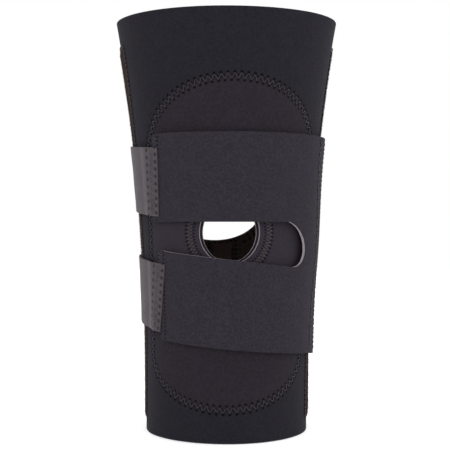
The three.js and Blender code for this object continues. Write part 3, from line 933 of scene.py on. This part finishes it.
def build_sleeve():
    """The neoprene tube: a grid round the panel, a grid round the hollow behind the knee and two rims."""
    first_row = lambda finish: (finish, False, False, False)
    parts = [sleeve_part(*sleeve_half(PANEL, -90.0, 90.0), True, first_row("plain")),
             sleeve_part(*sleeve_half(BEHIND_KNEE, 90.0, 270.0), False, first_row("foam"))]
    halves = (np.linspace(start, start + 180, RIM_CELLS + 1)[:-1] for start in (-90, 90))
    theta = np.concatenate(list(halves))
    for height in (RIM_STEPS, HEIGHT - RIM_STEPS):
        around, z = np.meshgrid(theta, height)
        far = np.full(z.shape, FAR_SEAM)
        parts.append(sleeve_part(around, z, far, 0 * z, False, first_row("foam")))
    starts = np.cumsum([0] + [len(part[0]) for part in parts])
    points, faces, cloth, seam, foam = (list(kind) for kind in zip(*parts))
    faces = [some + start for some, start in zip(faces, starts)]
    arrays = (np.concatenate(kind) for kind in (points, faces, cloth, seam, foam))
    piece = make_mesh("neoprene_sleeve", *arrays, sharp=180)
    weld(piece)
    nodes = ("calf_sleeve", "knee_sleeve", "thigh_sleeve")
    dress(piece, "jersey", (JERSEY, FOAM, INNER_JERSEY), nodes, SLEEVE_BEND)
    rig.sheet(piece, flat=(0.46, 0.305), held="stretched", area=0.103)


def weld(piece):
    """Joins points that coincide, makes the faces agree and marks the sharp edges of the cut foam."""
    shape = bmesh.new()
    shape.from_mesh(piece.data)
    bmesh.ops.remove_doubles(shape, verts=shape.verts, dist=2e-6)
    bmesh.ops.recalc_face_normals(shape, faces=shape.faces)
    shape.to_mesh(piece.data)
    shape.free()
    piece.data.set_sharp_from_angle(angle=radians(50))
    face_out(piece)


def panel_rows(hole, along):
    """Rows of the front panel from its stitched outline in to the round opening, each theta and z: some
    follow the outline, some the opening, and those between are part way. Also each column's place
    along the opening."""
    joint_gap = 0.12
    near = [PANEL.at(along, -out - joint_gap) for out in SEAM_STEPS]
    start_theta, start_z = near[-1]
    spot = hole.towards(start_theta, start_z, (KNEECAP["theta"], KNEECAP["z"]), MM_PER_DEGREE)
    close_in = [hole.at(spot, step) for step in HOLE_STEPS]
    stop_theta, stop_z = close_in[0]
    shares = np.linspace(0, 1, 26)[1:-1]
    middle = [(mix(start_theta, stop_theta, t), mix(start_z, stop_z, t)) for t in shares]
    return near + middle + close_in, spot


def panel_seam_map(from_seam, ring_out, by_ring, along, spot, hole):
    """The front panel's seam map: the kneecap's seam near the opening, the outline's seam elsewhere."""
    ring = seam_map(spot, np.abs(ring_out) - RING_STITCH["width"] / 2 - HOLE_OUT, hole.length, 0.0,
                    RING_STITCH["pitch"] * KNEECAP["radius"] / KNEECAP["seam"])
    oval = seam_map(along, from_seam - STITCH["width"] / 2 - HOLE_OUT, PANEL.length, 0.0)
    seam = close_columns(np.where(by_ring[..., None], ring, oval))
    seam[:, -1, 0] = np.where(by_ring[:, 0], seam[:, -1, 0], round(PANEL.length / STITCH["pitch"]))
    return seam


def build_front_panel():
    """The oval panel, sunk along its outline's seam and round the opening over the kneecap."""
    columns = 384
    along = np.arange(columns) / columns * PANEL.length
    hole = kneecap(KNEECAP["radius"])
    rows, spot = panel_rows(hole, along)
    theta, z = stack_rows(rows)
    from_hole = np.full(theta.shape, FAR_SEAM)
    from_hole[-len(HOLE_STEPS):] = HOLE_STEPS[:, None]
    from_seam = np.full(theta.shape, FAR_SEAM)
    from_seam[: len(SEAM_STEPS)] = SEAM_STEPS[:, None]
    ring_out = from_hole - (KNEECAP["seam"] - KNEECAP["radius"])
    sink = seam_groove(from_seam, along) + valley(ring_out, 0.45, 2.6)
    rise = ease(theta, z)
    worn = edge_round(from_hole)
    outer = on_leg(theta, z, rise - sink - 1.2 * worn)
    inner = on_leg(theta, z, -NEOPRENE + rise + 0.3 * worn + 0.3 * np.minimum(sink, 1))
    seam = panel_seam_map(from_seam, ring_out, from_hole < FAR_SEAM, along, spot, hole)
    cloth = close_columns(cloth_map(theta, z))
    arrays = slab_arrays(outer, inner, cloth, seam, True, ("plain", "foam", False, False))
    piece = face_out(make_mesh("front_panel", *arrays, sharp=50))
    nodes = ("front_panel_lower", "front_panel_middle", "front_panel_upper")
    dress(piece, "jersey", (PANEL_JERSEY, FOAM), nodes, SLEEVE_BEND)
    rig.sheet(piece, flat=(0.146, 0.234), held="stretched", area=0.0275)


def build_patella_ring():
    """The doubling ring behind the kneecap opening, cut from the same neoprene."""
    columns = 128
    hole, rim = kneecap(KNEECAP["inner"]), kneecap(KNEECAP["patch"])
    share = np.arange(columns) / columns
    width = KNEECAP["patch"] - KNEECAP["inner"]
    steps = edge_steps(width, 2.0)
    inner_line, outer_line = hole.at(share * hole.length), rim.at(share * rim.length)
    theta = np.array([mix(inner_line[0], outer_line[0], s / width) for s in steps])
    z = np.array([mix(inner_line[1], outer_line[1], s / width) for s in steps])
    edge = np.broadcast_to(np.minimum(steps, width - steps)[:, None], theta.shape)
    top = -NEOPRENE - 0.35
    piece = slab("patella_ring_cloth", theta, z, top - 2.3, top, edge, True, ("foam", "foam", False, False))
    dress(piece, "jersey", (LINING, FOAM), ["patella_ring"], SLEEVE_BEND)
    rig.sheet(piece, flat=(0.068, 0.068), held="stretched", area=0.00243)


def build_sleeve_threads():
    """The seams of the sleeve: round the panel, round the hollow, round the kneecap and up the back."""
    groove = lambda theta, z: ease(theta, z) - 0.15
    inside = lambda theta, z: -NEOPRENE + ease(theta, z) - 0.15
    hollow = ellipse(HOLLOW["theta"], HOLLOW["z"], HOLLOW["half_width"] + HOLLOW["seam"],
                     HOLLOW["half_height"] + HOLLOW["seam"])
    ring = kneecap(KNEECAP["seam"])
    rounds = (("panel_seam_stitches", "oval_seam_thread", SEAM_THREAD, PANEL, STITCH),
              ("hollow_seam_stitches", "popliteal_seam_thread", SEAM_THREAD, hollow, HOLLOW_STITCH),
              ("kneecap_seam_stitches", "ring_seam_thread", RING_THREAD, ring, RING_STITCH))
    for name, node, material, outline, stitch in rounds:
        one = zigzag(outline.at, outline.length, surface=groove, closed=True, **stitch)
        dress(mesh_of_tubes(name, [one]), "thread", [material], [node], SLEEVE_BEND)
    clear = HOLLOW["half_height"] + 8
    for end, low, high in (("lower", RIM, HOLLOW["z"] - clear), ("upper", HOLLOW["z"] + clear, HEIGHT - RIM)):
        line, length = straight(lambda z: BACK_SEAM + 0 * z, low, high)
        outside = zigzag(line, length, surface=groove, **BACK_STITCH)
        lining = zigzag(line, length, surface=inside, lift=-1.0, **BACK_STITCH)
        piece = mesh_of_tubes(f"back_seam_stitches_{end}", [outside, lining])
        dress(piece, "thread", [SEAM_THREAD], [f"back_seam_thread_{end}"], SLEEVE_BEND)


def build_label():
    """A blank woven label inside the back, sewn down at its top edge and a little curled below."""
    u = np.array([0, 0.02, 0.05, *np.linspace(0.1, 0.9, 10), 0.95, 0.98, 1.0])
    v = np.array([0, 0.01, 0.03, *np.linspace(0.06, 0.94, 18), 0.97, 0.99, 1.0])
    across, up = np.meshgrid(u, v)
    theta = mix(LABEL["left"], LABEL["right"], across)
    z = mix(LABEL["low"], LABEL["high"], up)
    curl = 0.9 * (1 - up) ** 2 * (0.6 + 0.4 * np.cos(TURN * across))
    width, height = 16, 29
    edge = np.minimum(np.minimum(across, 1 - across) * width, np.minimum(up, 1 - up) * height)
    fold = 0.12 * smooth(1 - edge / 0.6)
    low = -NEOPRENE - 0.65 - curl
    piece = slab("care_label_cloth", theta, z, low, low + 0.3 + fold, UNWORN, rims=ALL_PLAIN)
    dress(piece, "label_cloth", [LABEL_CLOTH], ["care_label"], SLEEVE_BEND)
    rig.sheet(piece, flat=(0.0155, 0.0295), held="hung")


# ---- Side strips and stays ----
def strip_theta(side, z, offset):
    """The angle of a point on a side strip. offset runs from the middle of the stay to the back."""
    low, high, way = STRIP_FRONT[side]
    up = (z - STRIP["low"]) / (STRIP["high"] - STRIP["low"])
    return mix(low, high, up) + way * (STRIP["front"] + offset) / MM_PER_DEGREE


def channel_rise(offset):
    """How far the strip rises over its stay: flat on top, with smooth slopes to both sides."""
    return CHANNEL["rise"] * smooth((CHANNEL["foot"] - np.abs(offset)) / CHANNEL["slope"])


def strip_steps(low, high, count):
    """Places from low to high: a few close together at both ends and the given count between."""
    near = np.array([0, 0.3, 0.8])
    return np.concatenate([low + near, np.linspace(low + 2, high - 2, count), high - near[::-1]])


def build_strip(side):
    """A strip of loop pile: a thin base cloth raised over the stay, with a rough face."""
    offset, z = np.meshgrid(strip_steps(-STRIP["front"], STRIP["back"], 57),
                            strip_steps(STRIP["low"], STRIP["high"], 150))
    theta = strip_theta(side, z, offset)
    edge = np.minimum(np.minimum(STRIP["front"] + offset, STRIP["back"] - offset),
                      np.minimum(z - STRIP["low"], STRIP["high"] - z))
    rough = 0.12 * np.sin(z * 1.9 + 3 * np.sin(offset)) * np.sin(offset * 2.3 + 2 * np.sin(z / 3))
    low = STRIP["lift"] + channel_rise(offset)
    high = low + STRIP["thick"] - 0.3 * smooth(1 - edge / 1.5) + rough * smooth(edge / 2)
    piece = slab(f"{side}_pile_strip", theta, z, low, high, UNWORN, rims=ALL_PLAIN)
    dress(piece, "loop_pile", [PILE], [f"{side}_stay_pocket"], SLEEVE_BEND)
    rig.sheet(piece, flat=(0.06, 0.273), held="stretched")


def scattered(spacing, stray):
    """Places on a strip: a slanted grid of points, each moved a little at random."""
    front, back = -STRIP["front"] + 0.7, STRIP["back"] - 0.7
    offset, z = np.meshgrid(np.arange(front, back, spacing),
                            np.arange(STRIP["low"] + 1.2, STRIP["high"] - 1, spacing))
    offset = offset + (np.arange(offset.shape[0]) % 2)[:, None] * spacing / 2
    offset = np.clip((offset + RNG.uniform(-stray, stray, offset.shape)).ravel(), front, back)
    return offset, (z + RNG.uniform(-stray, stray, z.shape)).ravel()


def planted(name, theta, z, depth, path, radius, turn, size):
    """Many copies of a short bent fibre. path gives its points as distance along the cloth and height
    above it, in millimetres; turn is each copy's heading and size its scale."""
    foot = on_leg(theta, z, depth)
    out = normal_at(theta, z)
    up = np.array([0.0, 0.0, 1.0]) - out * out[:, 2:3]
    up /= np.linalg.norm(up, axis=1, keepdims=True)
    aside = np.cross(up, out)
    ahead = aside * np.cos(turn)[:, None] + up * np.sin(turn)[:, None]
    across = np.cross(out, ahead)
    count, sides = len(path), 4
    rise = np.diff(path, axis=0)
    slope = np.concatenate([rise[:1], (rise[1:] + rise[:-1]) / 2, rise[-1:]])
    slope /= np.linalg.norm(slope, axis=1, keepdims=True)
    around = np.arange(sides) / sides * TURN
    ring_along = path[:, 0, None] - radius * slope[:, 1, None] * np.cos(around)
    ring_up = path[:, 1, None] + radius * slope[:, 0, None] * np.cos(around)
    ring_side = np.broadcast_to(radius * np.sin(around), (count, sides))
    scale = size[:, None, None, None] * MM
    body = (foot[:, None, None] + scale * (ahead[:, None, None] * ring_along[None, :, :, None]
            + out[:, None, None] * ring_up[None, :, :, None]
            + across[:, None, None] * ring_side[None, :, :, None]))
    one = grid_faces(count, sides, close=True)
    tip = np.array([[(count - 1) * sides + k for k in range(sides)]])
    root = np.array([[k for k in range(sides)][::-1]])
    one = np.concatenate([one, tip, root])
    faces = (one[None] + (np.arange(len(theta)) * count * sides)[:, None, None]).reshape(-1, 4)
    return face_out(make_mesh(name, body.reshape(-1, 3), faces, sharp=80))


def build_pile(side):
    """The loops of the pile: small arches that lean every way and stand half a millimetre to one high."""
    offset, z = scattered(LOOP["spacing"], LOOP["stray"])
    theta = strip_theta(side, z, offset)
    depth = STRIP["lift"] + STRIP["thick"] + channel_rise(offset) + ease(theta, z) - 0.15
    angle = np.linspace(0, pi, 5)
    arch = np.stack([-LOOP["reach"] * np.cos(angle), LOOP["height"] * np.sin(angle)], axis=1)
    turn = RNG.uniform(0, TURN, len(theta))
    size = RNG.uniform(0.7, 1.15, len(theta))
    piece = planted(f"{side}_pile_loops", theta, z, depth, arch, LOOP["radius"], turn, size)
    dress(piece, "loop_pile", [PILE], bend=SLEEVE_BEND)


def build_edging(side):
    """Overcast stitches over all four edges of a strip."""
    surface = lambda theta, z: ease(theta, z) + 0.55

    def up_the_strip(offset):
        def line(along, out):
            z = STRIP["low"] + along
            return strip_theta(side, z, offset + out), z
        return zigzag(line, STRIP["high"] - STRIP["low"], surface=surface, **EDGE_STITCH)

    def across_the_strip(height):
        def line(along, out):
            z = height + out + 0 * along
            return strip_theta(side, z, along - STRIP["front"]), z
        return zigzag(line, STRIP["front"] + STRIP["back"], surface=surface, **EDGE_STITCH)

    runs = [up_the_strip(-STRIP["front"]), up_the_strip(STRIP["back"]),
            across_the_strip(STRIP["low"]), across_the_strip(STRIP["high"])]
    piece = mesh_of_tubes(f"{side}_edge_stitches", runs)
    dress(piece, "thread", [SEAM_THREAD], [f"{side}_pocket_edging"], SLEEVE_BEND)


def build_stay(side):
    """A spiral stay: one wire wound into a flat coil, 7 mm wide and 1 mm thick, with a 2.4 mm lead."""
    turns, per_turn = STAY["turns"], 14
    t = np.arange(turns * per_turn + 1) / per_turn
    z = mix(STAY["low"], STAY["high"], t / turns)
    depth = 1.3 + 0.32 * np.sin(TURN * t)
    theta = strip_theta(side, z, STAY["half"] * np.cos(TURN * t))
    wire = tube(on_leg(theta, z, depth), normal_at(theta, z), STAY["radius"] * MM)
    piece = mesh_of_tubes(f"{side}_spiral_stay", [wire])
    dress(piece, "stay_steel", [STEEL], [f"{side}_stay"], SLEEVE_BEND)


# ---- Wrap and straps ----
def wrap_lift(theta, z):
    """The wrap's gap to the sleeve: a bell-shaped bulge, highest beside the end of the slot."""
    across = (theta - WRAP_BULGE["theta"]) / WRAP_BULGE["wide"]
    up = (z - WRAP_BULGE["z"]) / WRAP_BULGE["tall"]
    return WRAP_LIFT + WRAP_BULGE["lift"] * np.exp(-across**2 - up**2)


def wrap_face(theta, z):
    """The depth of the wrap's outer face."""
    return wrap_lift(theta, z) + WRAP_THICK + ease(theta, z)


def lower_top(theta):
    """The height of the lower strap's upper edge."""
    return LOWER_STRAP["top"] - LOWER_STRAP["top_fall"] * theta


def lower_bottom(theta):
    """The height of the lower strap's lower edge, and of the wrap's."""
    return LOWER_STRAP["bottom"] - LOWER_STRAP["bottom_fall"] * theta


def strap_edges(name, theta):
    """The heights of a strap's lower and upper edge."""
    if name == "upper":
        return UPPER_BOTTOM + 0 * theta, UPPER_TOP + 0 * theta
    return lower_bottom(theta), lower_top(theta)


def strap_left(name, up):
    """The angle of a strap's free end, where up runs from 0 at its lower corner to 1 at its upper one."""
    return mix(*STRAP_LEFT[name], up)


def wrap_slab(name, theta, z, edge, rims, seam=None):
    """Part of the wrap: the wrap's lift and thickness on a grid of theta and z."""
    sink = 0.0
    for line in (FRONT_SEAM, REAR_SEAM):
        sink = sink + valley((theta - line) * per_degree(theta, z), 0.5, 1.2)
    lift = wrap_lift(theta, z)
    return slab(name, theta, z, lift, lift + WRAP_THICK - sink, edge, rims=rims, seam=seam, sharp=50)


def slot_end(share):
    """The rounded end of the slot between the straps, from its top round to its bottom."""
    top, bottom = UPPER_BOTTOM, lower_top(SPLIT)
    turn = pi / 2 - pi * share
    theta = SPLIT + 14 * np.cos(turn)
    return theta, (top + bottom) / 2 + (top - bottom) / 2 * np.sin(turn) - 5 * np.cos(turn)


def wrap_border(share):
    """The wrap's outer border: along its top, down its rear edge and back along its bottom."""
    upper_corner, lower_corner = 0.30, 0.72
    theta = np.interp(share, (0, upper_corner, lower_corner, 1), (SPLIT, REAR, REAR, SPLIT))
    z = np.interp(share, (upper_corner, lower_corner), (UPPER_TOP, lower_bottom(REAR)))
    z = np.where(share > lower_corner, lower_bottom(theta), z)
    theta, z = round_corner(theta, z, REAR, UPPER_TOP, 4.0, -1)
    return round_corner(theta, z, REAR, lower_bottom(REAR), 8.0, 1)


def round_corner(theta, z, corner_theta, corner_z, radius, way):
    """Pulls points near a square corner on to a circle. way is +1 for a lower corner, -1 for an upper."""
    x = (corner_theta - theta) * SIDE_SCALE
    y = (z - corner_z) * way
    near = (x < radius) & (y < radius)
    dx, dy = radius - x, radius - y
    size = np.maximum(np.hypot(dx, dy), 1e-6)
    turned_x, turned_y = radius - dx / size * radius, radius - dy / size * radius
    return (np.where(near, corner_theta - turned_x / SIDE_SCALE, theta),
            np.where(near, corner_z + way * turned_y, z))


def build_wrap_root():
    """The sewn part of the wrap: rows run from the rounded end of the slot to the outer border, and
    columns from the upper strap round the back to the lower strap."""
    share = np.linspace(0, 1, 150)
    share = np.concatenate([[0, 0.0015], share[1:-1], [0.9985, 1]])
    slot_theta, slot_z = slot_end(share)
    border_theta, border_z = wrap_border(share)
    size = np.hypot((border_theta - slot_theta) * SIDE_SCALE, border_z - slot_z)
    span, fine = 60.0, 2.4
    steps = edge_steps(span, 2.6)
    rows_in = np.minimum(steps, span - steps)
    rows = []
    for step, near in zip(steps, rows_in):
        if near >= fine:
            t = step / span
        elif step < span / 2:
            t = near / size
        else:
            t = 1 - near / size
        rows.append((mix(slot_theta, border_theta, t), mix(slot_z, border_z, t)))
    theta, z = stack_rows(rows)
    edge = np.broadcast_to(rows_in[:, None], theta.shape)
    by_front = theta < (FRONT_SEAM + REAR_SEAM) / 2
    across = np.where(by_front, theta - FRONT_SEAM, REAR_SEAM - theta) * per_degree(theta, z)
    start = lower_bottom(np.where(by_front, FRONT_SEAM, REAR_SEAM)) + WRAP_SEAM_INSET
    length = UPPER_TOP - WRAP_SEAM_INSET - start
    strokes = 2 * np.round(length / WRAP_PITCH)
    seam = np.stack([(z - start) * strokes / length, 0.4 * across], axis=-1)
    piece = wrap_slab("side_wrap", theta, z, edge, ("foam", "foam", "plain", "plain"), seam)
    dress(piece, "wrap_cloth", (WRAP_JERSEY, FOAM), ["wrap_root"], WRAP_BEND)
    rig.sheet(piece, flat=(0.068, 0.162), held="stretched", area=0.0101)


def build_wrap_threads():
    """The two seams that hold the wrap: a close zigzag on the front one, a wider one near the rear edge."""
    surface = lambda theta, z: wrap_face(theta, z) - 0.1
    seams = ("front", FRONT_SEAM, 1.0, RING_THREAD), ("rear", REAR_SEAM, 2.6, SEAM_THREAD)
    for name, theta, width, material in seams:
        line, length = straight(lambda z, theta=theta: theta + 0 * z,
                                lower_bottom(theta) + WRAP_SEAM_INSET, UPPER_TOP - WRAP_SEAM_INSET)
        stitches = zigzag(line, length, width, WRAP_PITCH, STITCH["radius"], surface)
        piece = mesh_of_tubes(f"wrap_{name}_stitches", [stitches])
        dress(piece, "thread", [material], [f"wrap_{name}_seam_thread"], WRAP_BEND)


def corner_cut(distance, radius):
    """How far a rounded corner cuts in from the long edge, at a distance from the short one."""
    return radius - np.sqrt(np.clip(radius**2 - np.clip(radius - distance, 0, None) ** 2, 0, None))


def hinge_zone(theta_start, theta_end, z, d):
    """Two points across a bend, where a piece starts to follow the next body and where it fully does."""
    start, end = (tuple(on_leg(theta, z, d).tolist()) for theta in (theta_start, theta_end))
    return dict(start=start, end=end)


def build_strap(name):
    """A strap: columns run from its free end to its root, rows from its lower edge to its upper edge.
    The free corners are rounded."""
    steps = edge_steps(STRAP_LENGTH, 1.9)
    share = np.concatenate([steps[:-5] / STRAP_LENGTH, [0.985, 0.997, 1.0]])
    rise = edge_steps(STRAP_HEIGHT, 2.2) / STRAP_HEIGHT
    s, v = np.meshgrid(share, rise)
    theta = mix(strap_left(name, v), SPLIT, s)
    low, high = strap_edges(name, theta)
    from_end = s * STRAP_LENGTH
    cut = corner_cut(from_end, STRAP_CORNER)
    z = mix(low + cut, high - cut, v)
    edge = np.minimum(np.minimum(v, 1 - v) * STRAP_HEIGHT, from_end)
    end_seam = np.stack([z / END_STITCH["pitch"], np.abs(from_end - 4.0) - 2.9], axis=-1)
    piece = wrap_slab(f"{name}_strap_cloth", theta, z, edge, ("foam", "foam", "foam", "plain"), end_seam)
    dress(piece, "wrap_cloth", (WRAP_JERSEY, FOAM), [f"{name}_strap"])
    parent, hinge_height = STRAP_HINGE[name]
    bend = hinge_zone(SPLIT, STRAP_BENT, hinge_height, WRAP_LIFT + WRAP_THICK)
    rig.blend(piece, parent, f"{name}_strap", **bend)
    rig.sheet(piece, flat=(0.108, 0.0625), held="stretched")


# ---- Hook tabs ----
def tab_low(tab, theta):
    """The height of a tab's lower edge, which falls a little towards the strap."""
    return tab["low"] - TAB_TILT * (theta - tab["right_top"])


def tab_right(tab, up):
    """The angle of a tab's sewn end, where up runs from 0 at its bottom to 1 at its top."""
    return mix(tab["right_bottom"], tab["right_top"], up)


def tab_inner(theta):
    """The tape's depth: level on the strap, an S-shaped fall past the strap's end, level on the strip."""
    fall = smooth((TAB_BEND - theta) / (TAB_BEND - TAB_DROP_END))
    return mix(TAB_ON_STRAP, TAB_ON_STRIP, fall)


def build_tab(name):
    """One strip of tape: its right end sewn to the strap, its free end rounded off and a little lifted."""
    tab = TABS[name]
    middle = tab["low"] + TAB_HEIGHT / 2
    steps = edge_steps(TAB_LENGTH, 1.3) / TAB_LENGTH
    rise = edge_steps(TAB_HEIGHT, 2.0) / TAB_HEIGHT
    s, v = np.meshgrid(steps, rise)
    right = tab_right(tab, v)
    theta = mix(tab["end"], right, s)
    from_free = s * TAB_LENGTH
    cut = corner_cut(from_free, TAB_CORNER)
    low = tab_low(tab, theta)
    z = mix(low + cut, low + TAB_HEIGHT - cut, v)
    inner = tab_inner(theta) + 0.25 * smooth(1 - from_free / 12) + 0.06 * np.sin(z / 4)
    edge = np.minimum(np.minimum(v, 1 - v) * TAB_HEIGHT, np.minimum(from_free, TAB_LENGTH - from_free))
    thin = 0.25 * smooth(1 - edge / 0.7)
    sink = valley(TAB_LENGTH - from_free - 1.2, 0.18, 1.0)
    from_sewn = (right - theta) * per_degree(theta, middle)
    first_row = from_sewn < TAB_HOLE_SPLIT
    stitches = (z - low) / TAB_PITCH + np.where(first_row, 0.5, 0.0)
    seam = np.stack([stitches, from_sewn - np.where(first_row, *TAB_HOLES)], axis=-1)
    piece = slab(f"{name}_hook_tab", theta, z, inner, inner + TAB_THICK - thin - sink, UNWORN,
                 rims=ALL_PLAIN, seam=seam, wavy=False)
    dress(piece, "hook_tape", [TAPE], [f"{name}_tab", f"{name}_tab_sewn_end"])
    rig.blend(piece, f"{name}_strap", f"{name}_tab", **hinge_zone(z=middle, **TAB_PEEL))
    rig.sheet(piece, flat=(0.066, 0.049), held="folded")


def build_tab_stitches(name):
    """The zigzag over the tab's sewn end, drawn closer near both ends."""
    tab = TABS[name]
    right = lambda z: tab_right(tab, np.clip((z - tab["low"]) / TAB_HEIGHT, 0, 1))
    centre = lambda z: right(z) - TAB_SEAM["middle"] / per_degree(right(z), z)
    surface = lambda theta, z: tab_inner(theta) + TAB_THICK - 0.12
    low, high = tab["low"] + 1.5, tab["low"] + TAB_HEIGHT - 1.5
    whole = (low, high, TAB_PITCH)
    lower_end = (low + 0.8, low + 11, 2.6)
    upper_end = (high - 9, high - 0.5, 2.2)
    runs = []
    for start, stop, pitch in (whole, lower_end, upper_end):
        line, length = straight(centre, start, stop)
        runs.append(zigzag(line, length, TAB_SEAM["width"], pitch, TAB_SEAM["radius"], surface))
    piece = mesh_of_tubes(f"{name}_tab_zigzag", runs)
    dress(piece, "thread", [TAB_THREAD], [f"{name}_tab_stitching"])
    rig.ride(piece, f"{name}_strap")


def build_strap_end_stitches(name):
    """The zigzag along the strap's free end, above and below the tab."""
    tab = TABS[name]
    bottom, top = strap_edges(name, STRAP_LEFT[name][0])
    centre = lambda z: strap_left(name, (z - bottom) / (top - bottom)) + 3.2
    surface = lambda theta, z: wrap_face(theta, z) - 0.2
    runs = []
    for start, stop in ((bottom + 2.5, tab["low"] - 1.0), (tab["low"] + TAB_HEIGHT + 1.5, top - 2.5)):
        if stop - start > 3:
            line, length = straight(centre, start, stop)
            runs.append(zigzag(line, length, surface=surface, **END_STITCH))
    piece = mesh_of_tubes(f"{name}_strap_end_zigzag", runs)
    dress(piece, "thread", [SEAM_THREAD])
    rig.ride(piece, f"{name}_strap")


def on_hook_face(tab, across, up):
    """Theta and z of places on the face under a tab, where across and up run from 0 to 1."""
    across, up = np.meshgrid(across, up)
    theta = mix(tab["end"] + 2, HOOK_START, across)
    return theta, tab_low(tab, theta) + mix(HOOK_MARGIN, TAB_HEIGHT - HOOK_MARGIN, up)


def build_hook_backing(name):
    """The thin plastic sheet that the hooks stand on."""
    theta, z = on_hook_face(TABS[name], np.linspace(0, 1, 30), np.linspace(0, 1, 20))
    piece = slab(f"{name}_hook_backing", theta, z, HOOK_ROOT - 0.25, HOOK_ROOT, UNWORN,
                 rims=ALL_PLAIN, wavy=False)
    dress(piece, "hooks", [HOOKS], [f"{name}_hook_face"])
    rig.ride(piece, f"{name}_tab")
    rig.sheet(piece, flat=(0.034, 0.045), held="stretched")


def build_hooks(name):
    """The hooks under a tab: rows of small moulded J shapes that face both ways in turn."""
    theta, z = on_hook_face(TABS[name], np.linspace(0.02, 0.98, 24), np.linspace(0.02, 0.98, 31))
    theta, z = theta.ravel(), z.ravel()
    hook = np.array([[0, 0.1], [0, -0.25], [0.05, -0.5], [0.22, -0.62], [0.38, -0.5], [0.36, -0.36]])
    heading = np.where(np.arange(len(theta)) % 2, 0.0, pi)
    size = np.full(len(theta), 0.9)
    piece = planted(f"{name}_hooks", theta, z, HOOK_ROOT - 0.2, hook, 0.085, heading, size)
    dress(piece, "hooks", [HOOKS])
    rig.ride(piece, f"{name}_tab")


# ---- Stage ----
def build_stage():
    """A pale floor, an even pale surround, a large soft light in front and a paler one on each side."""
    corners = np.array([[-3, -3, 0], [3, -3, 0], [3, 3, 0], [-3, 3, 0]], float) - [0, 0, 0.0004]
    floor = make_mesh("floor", corners, np.array([[0, 1, 2, 3]]))
    floor.data.materials.append(floor_paint())
    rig.stage(floor)
    world = bpy.data.worlds.new("surround")
    world.use_nodes = True
    colour, strength = world.node_tree.nodes["Background"].inputs[:2]
    colour.default_value = (1, 1, 1, 1)
    strength.default_value = 1.0
    bpy.context.scene.world = world
    bpy.context.scene.view_settings.view_transform = "Standard"
    for name, place, size, power in (("front_softbox", (-0.25, -1.5, 0.75), 0.9, 9.0),
                                     ("left_softbox", (-1.3, -0.1, 0.5), 0.8, 0.5),
                                     ("right_softbox", (1.3, 0.0, 0.5), 0.8, 5.0)):
        lamp = bpy.data.lights.new(name, "AREA")
        lamp.energy = power
        lamp.size = size
        light = new_object(name, lamp)
        light.location = place
        aim = np.array([0, 0, 0.15]) - np.array(place)
        light.rotation_euler = Vector(aim).to_track_quat("-Z", "Y").to_euler()


def build_camera():
    """A level camera in front of the sleeve at mid height, its middle 1.1 mm left of the sleeve's axis."""
    lens = bpy.data.cameras.new("camera")
    lens.lens = 88.0
    lens.sensor_width = 36.0
    camera = new_object("camera", lens)
    camera.location = (-0.0011, -0.8346, 0.1533)
    camera.rotation_euler = (pi / 2, 0, 0)
    bpy.context.scene.camera = camera


build_camera()
build_stage()
build_sleeve()
build_front_panel()
build_patella_ring()
build_sleeve_threads()
build_label()
for side in ("medial", "lateral"):
    build_strip(side)
    build_pile(side)
    build_edging(side)
    build_stay(side)
    for end in ("upper", "lower"):
        tip = frame["nodes"][f"{side}_stay_tip_{end}"]
        tip.data.materials.clear()
        tip.data.materials.append(STEEL)
build_wrap_root()
build_wrap_threads()
for which in ("upper", "lower"):
    build_strap(which)
for which in ("upper", "lower"):
    build_tab(which)
    build_tab_stitches(which)
    build_strap_end_stitches(which)
    build_hook_backing(which)
    build_hooks(which)

with open("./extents.json", "w") as out:
    json.dump([[list(corner) for corner in CAD_BOX], [list(corner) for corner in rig.bounds()]], out)
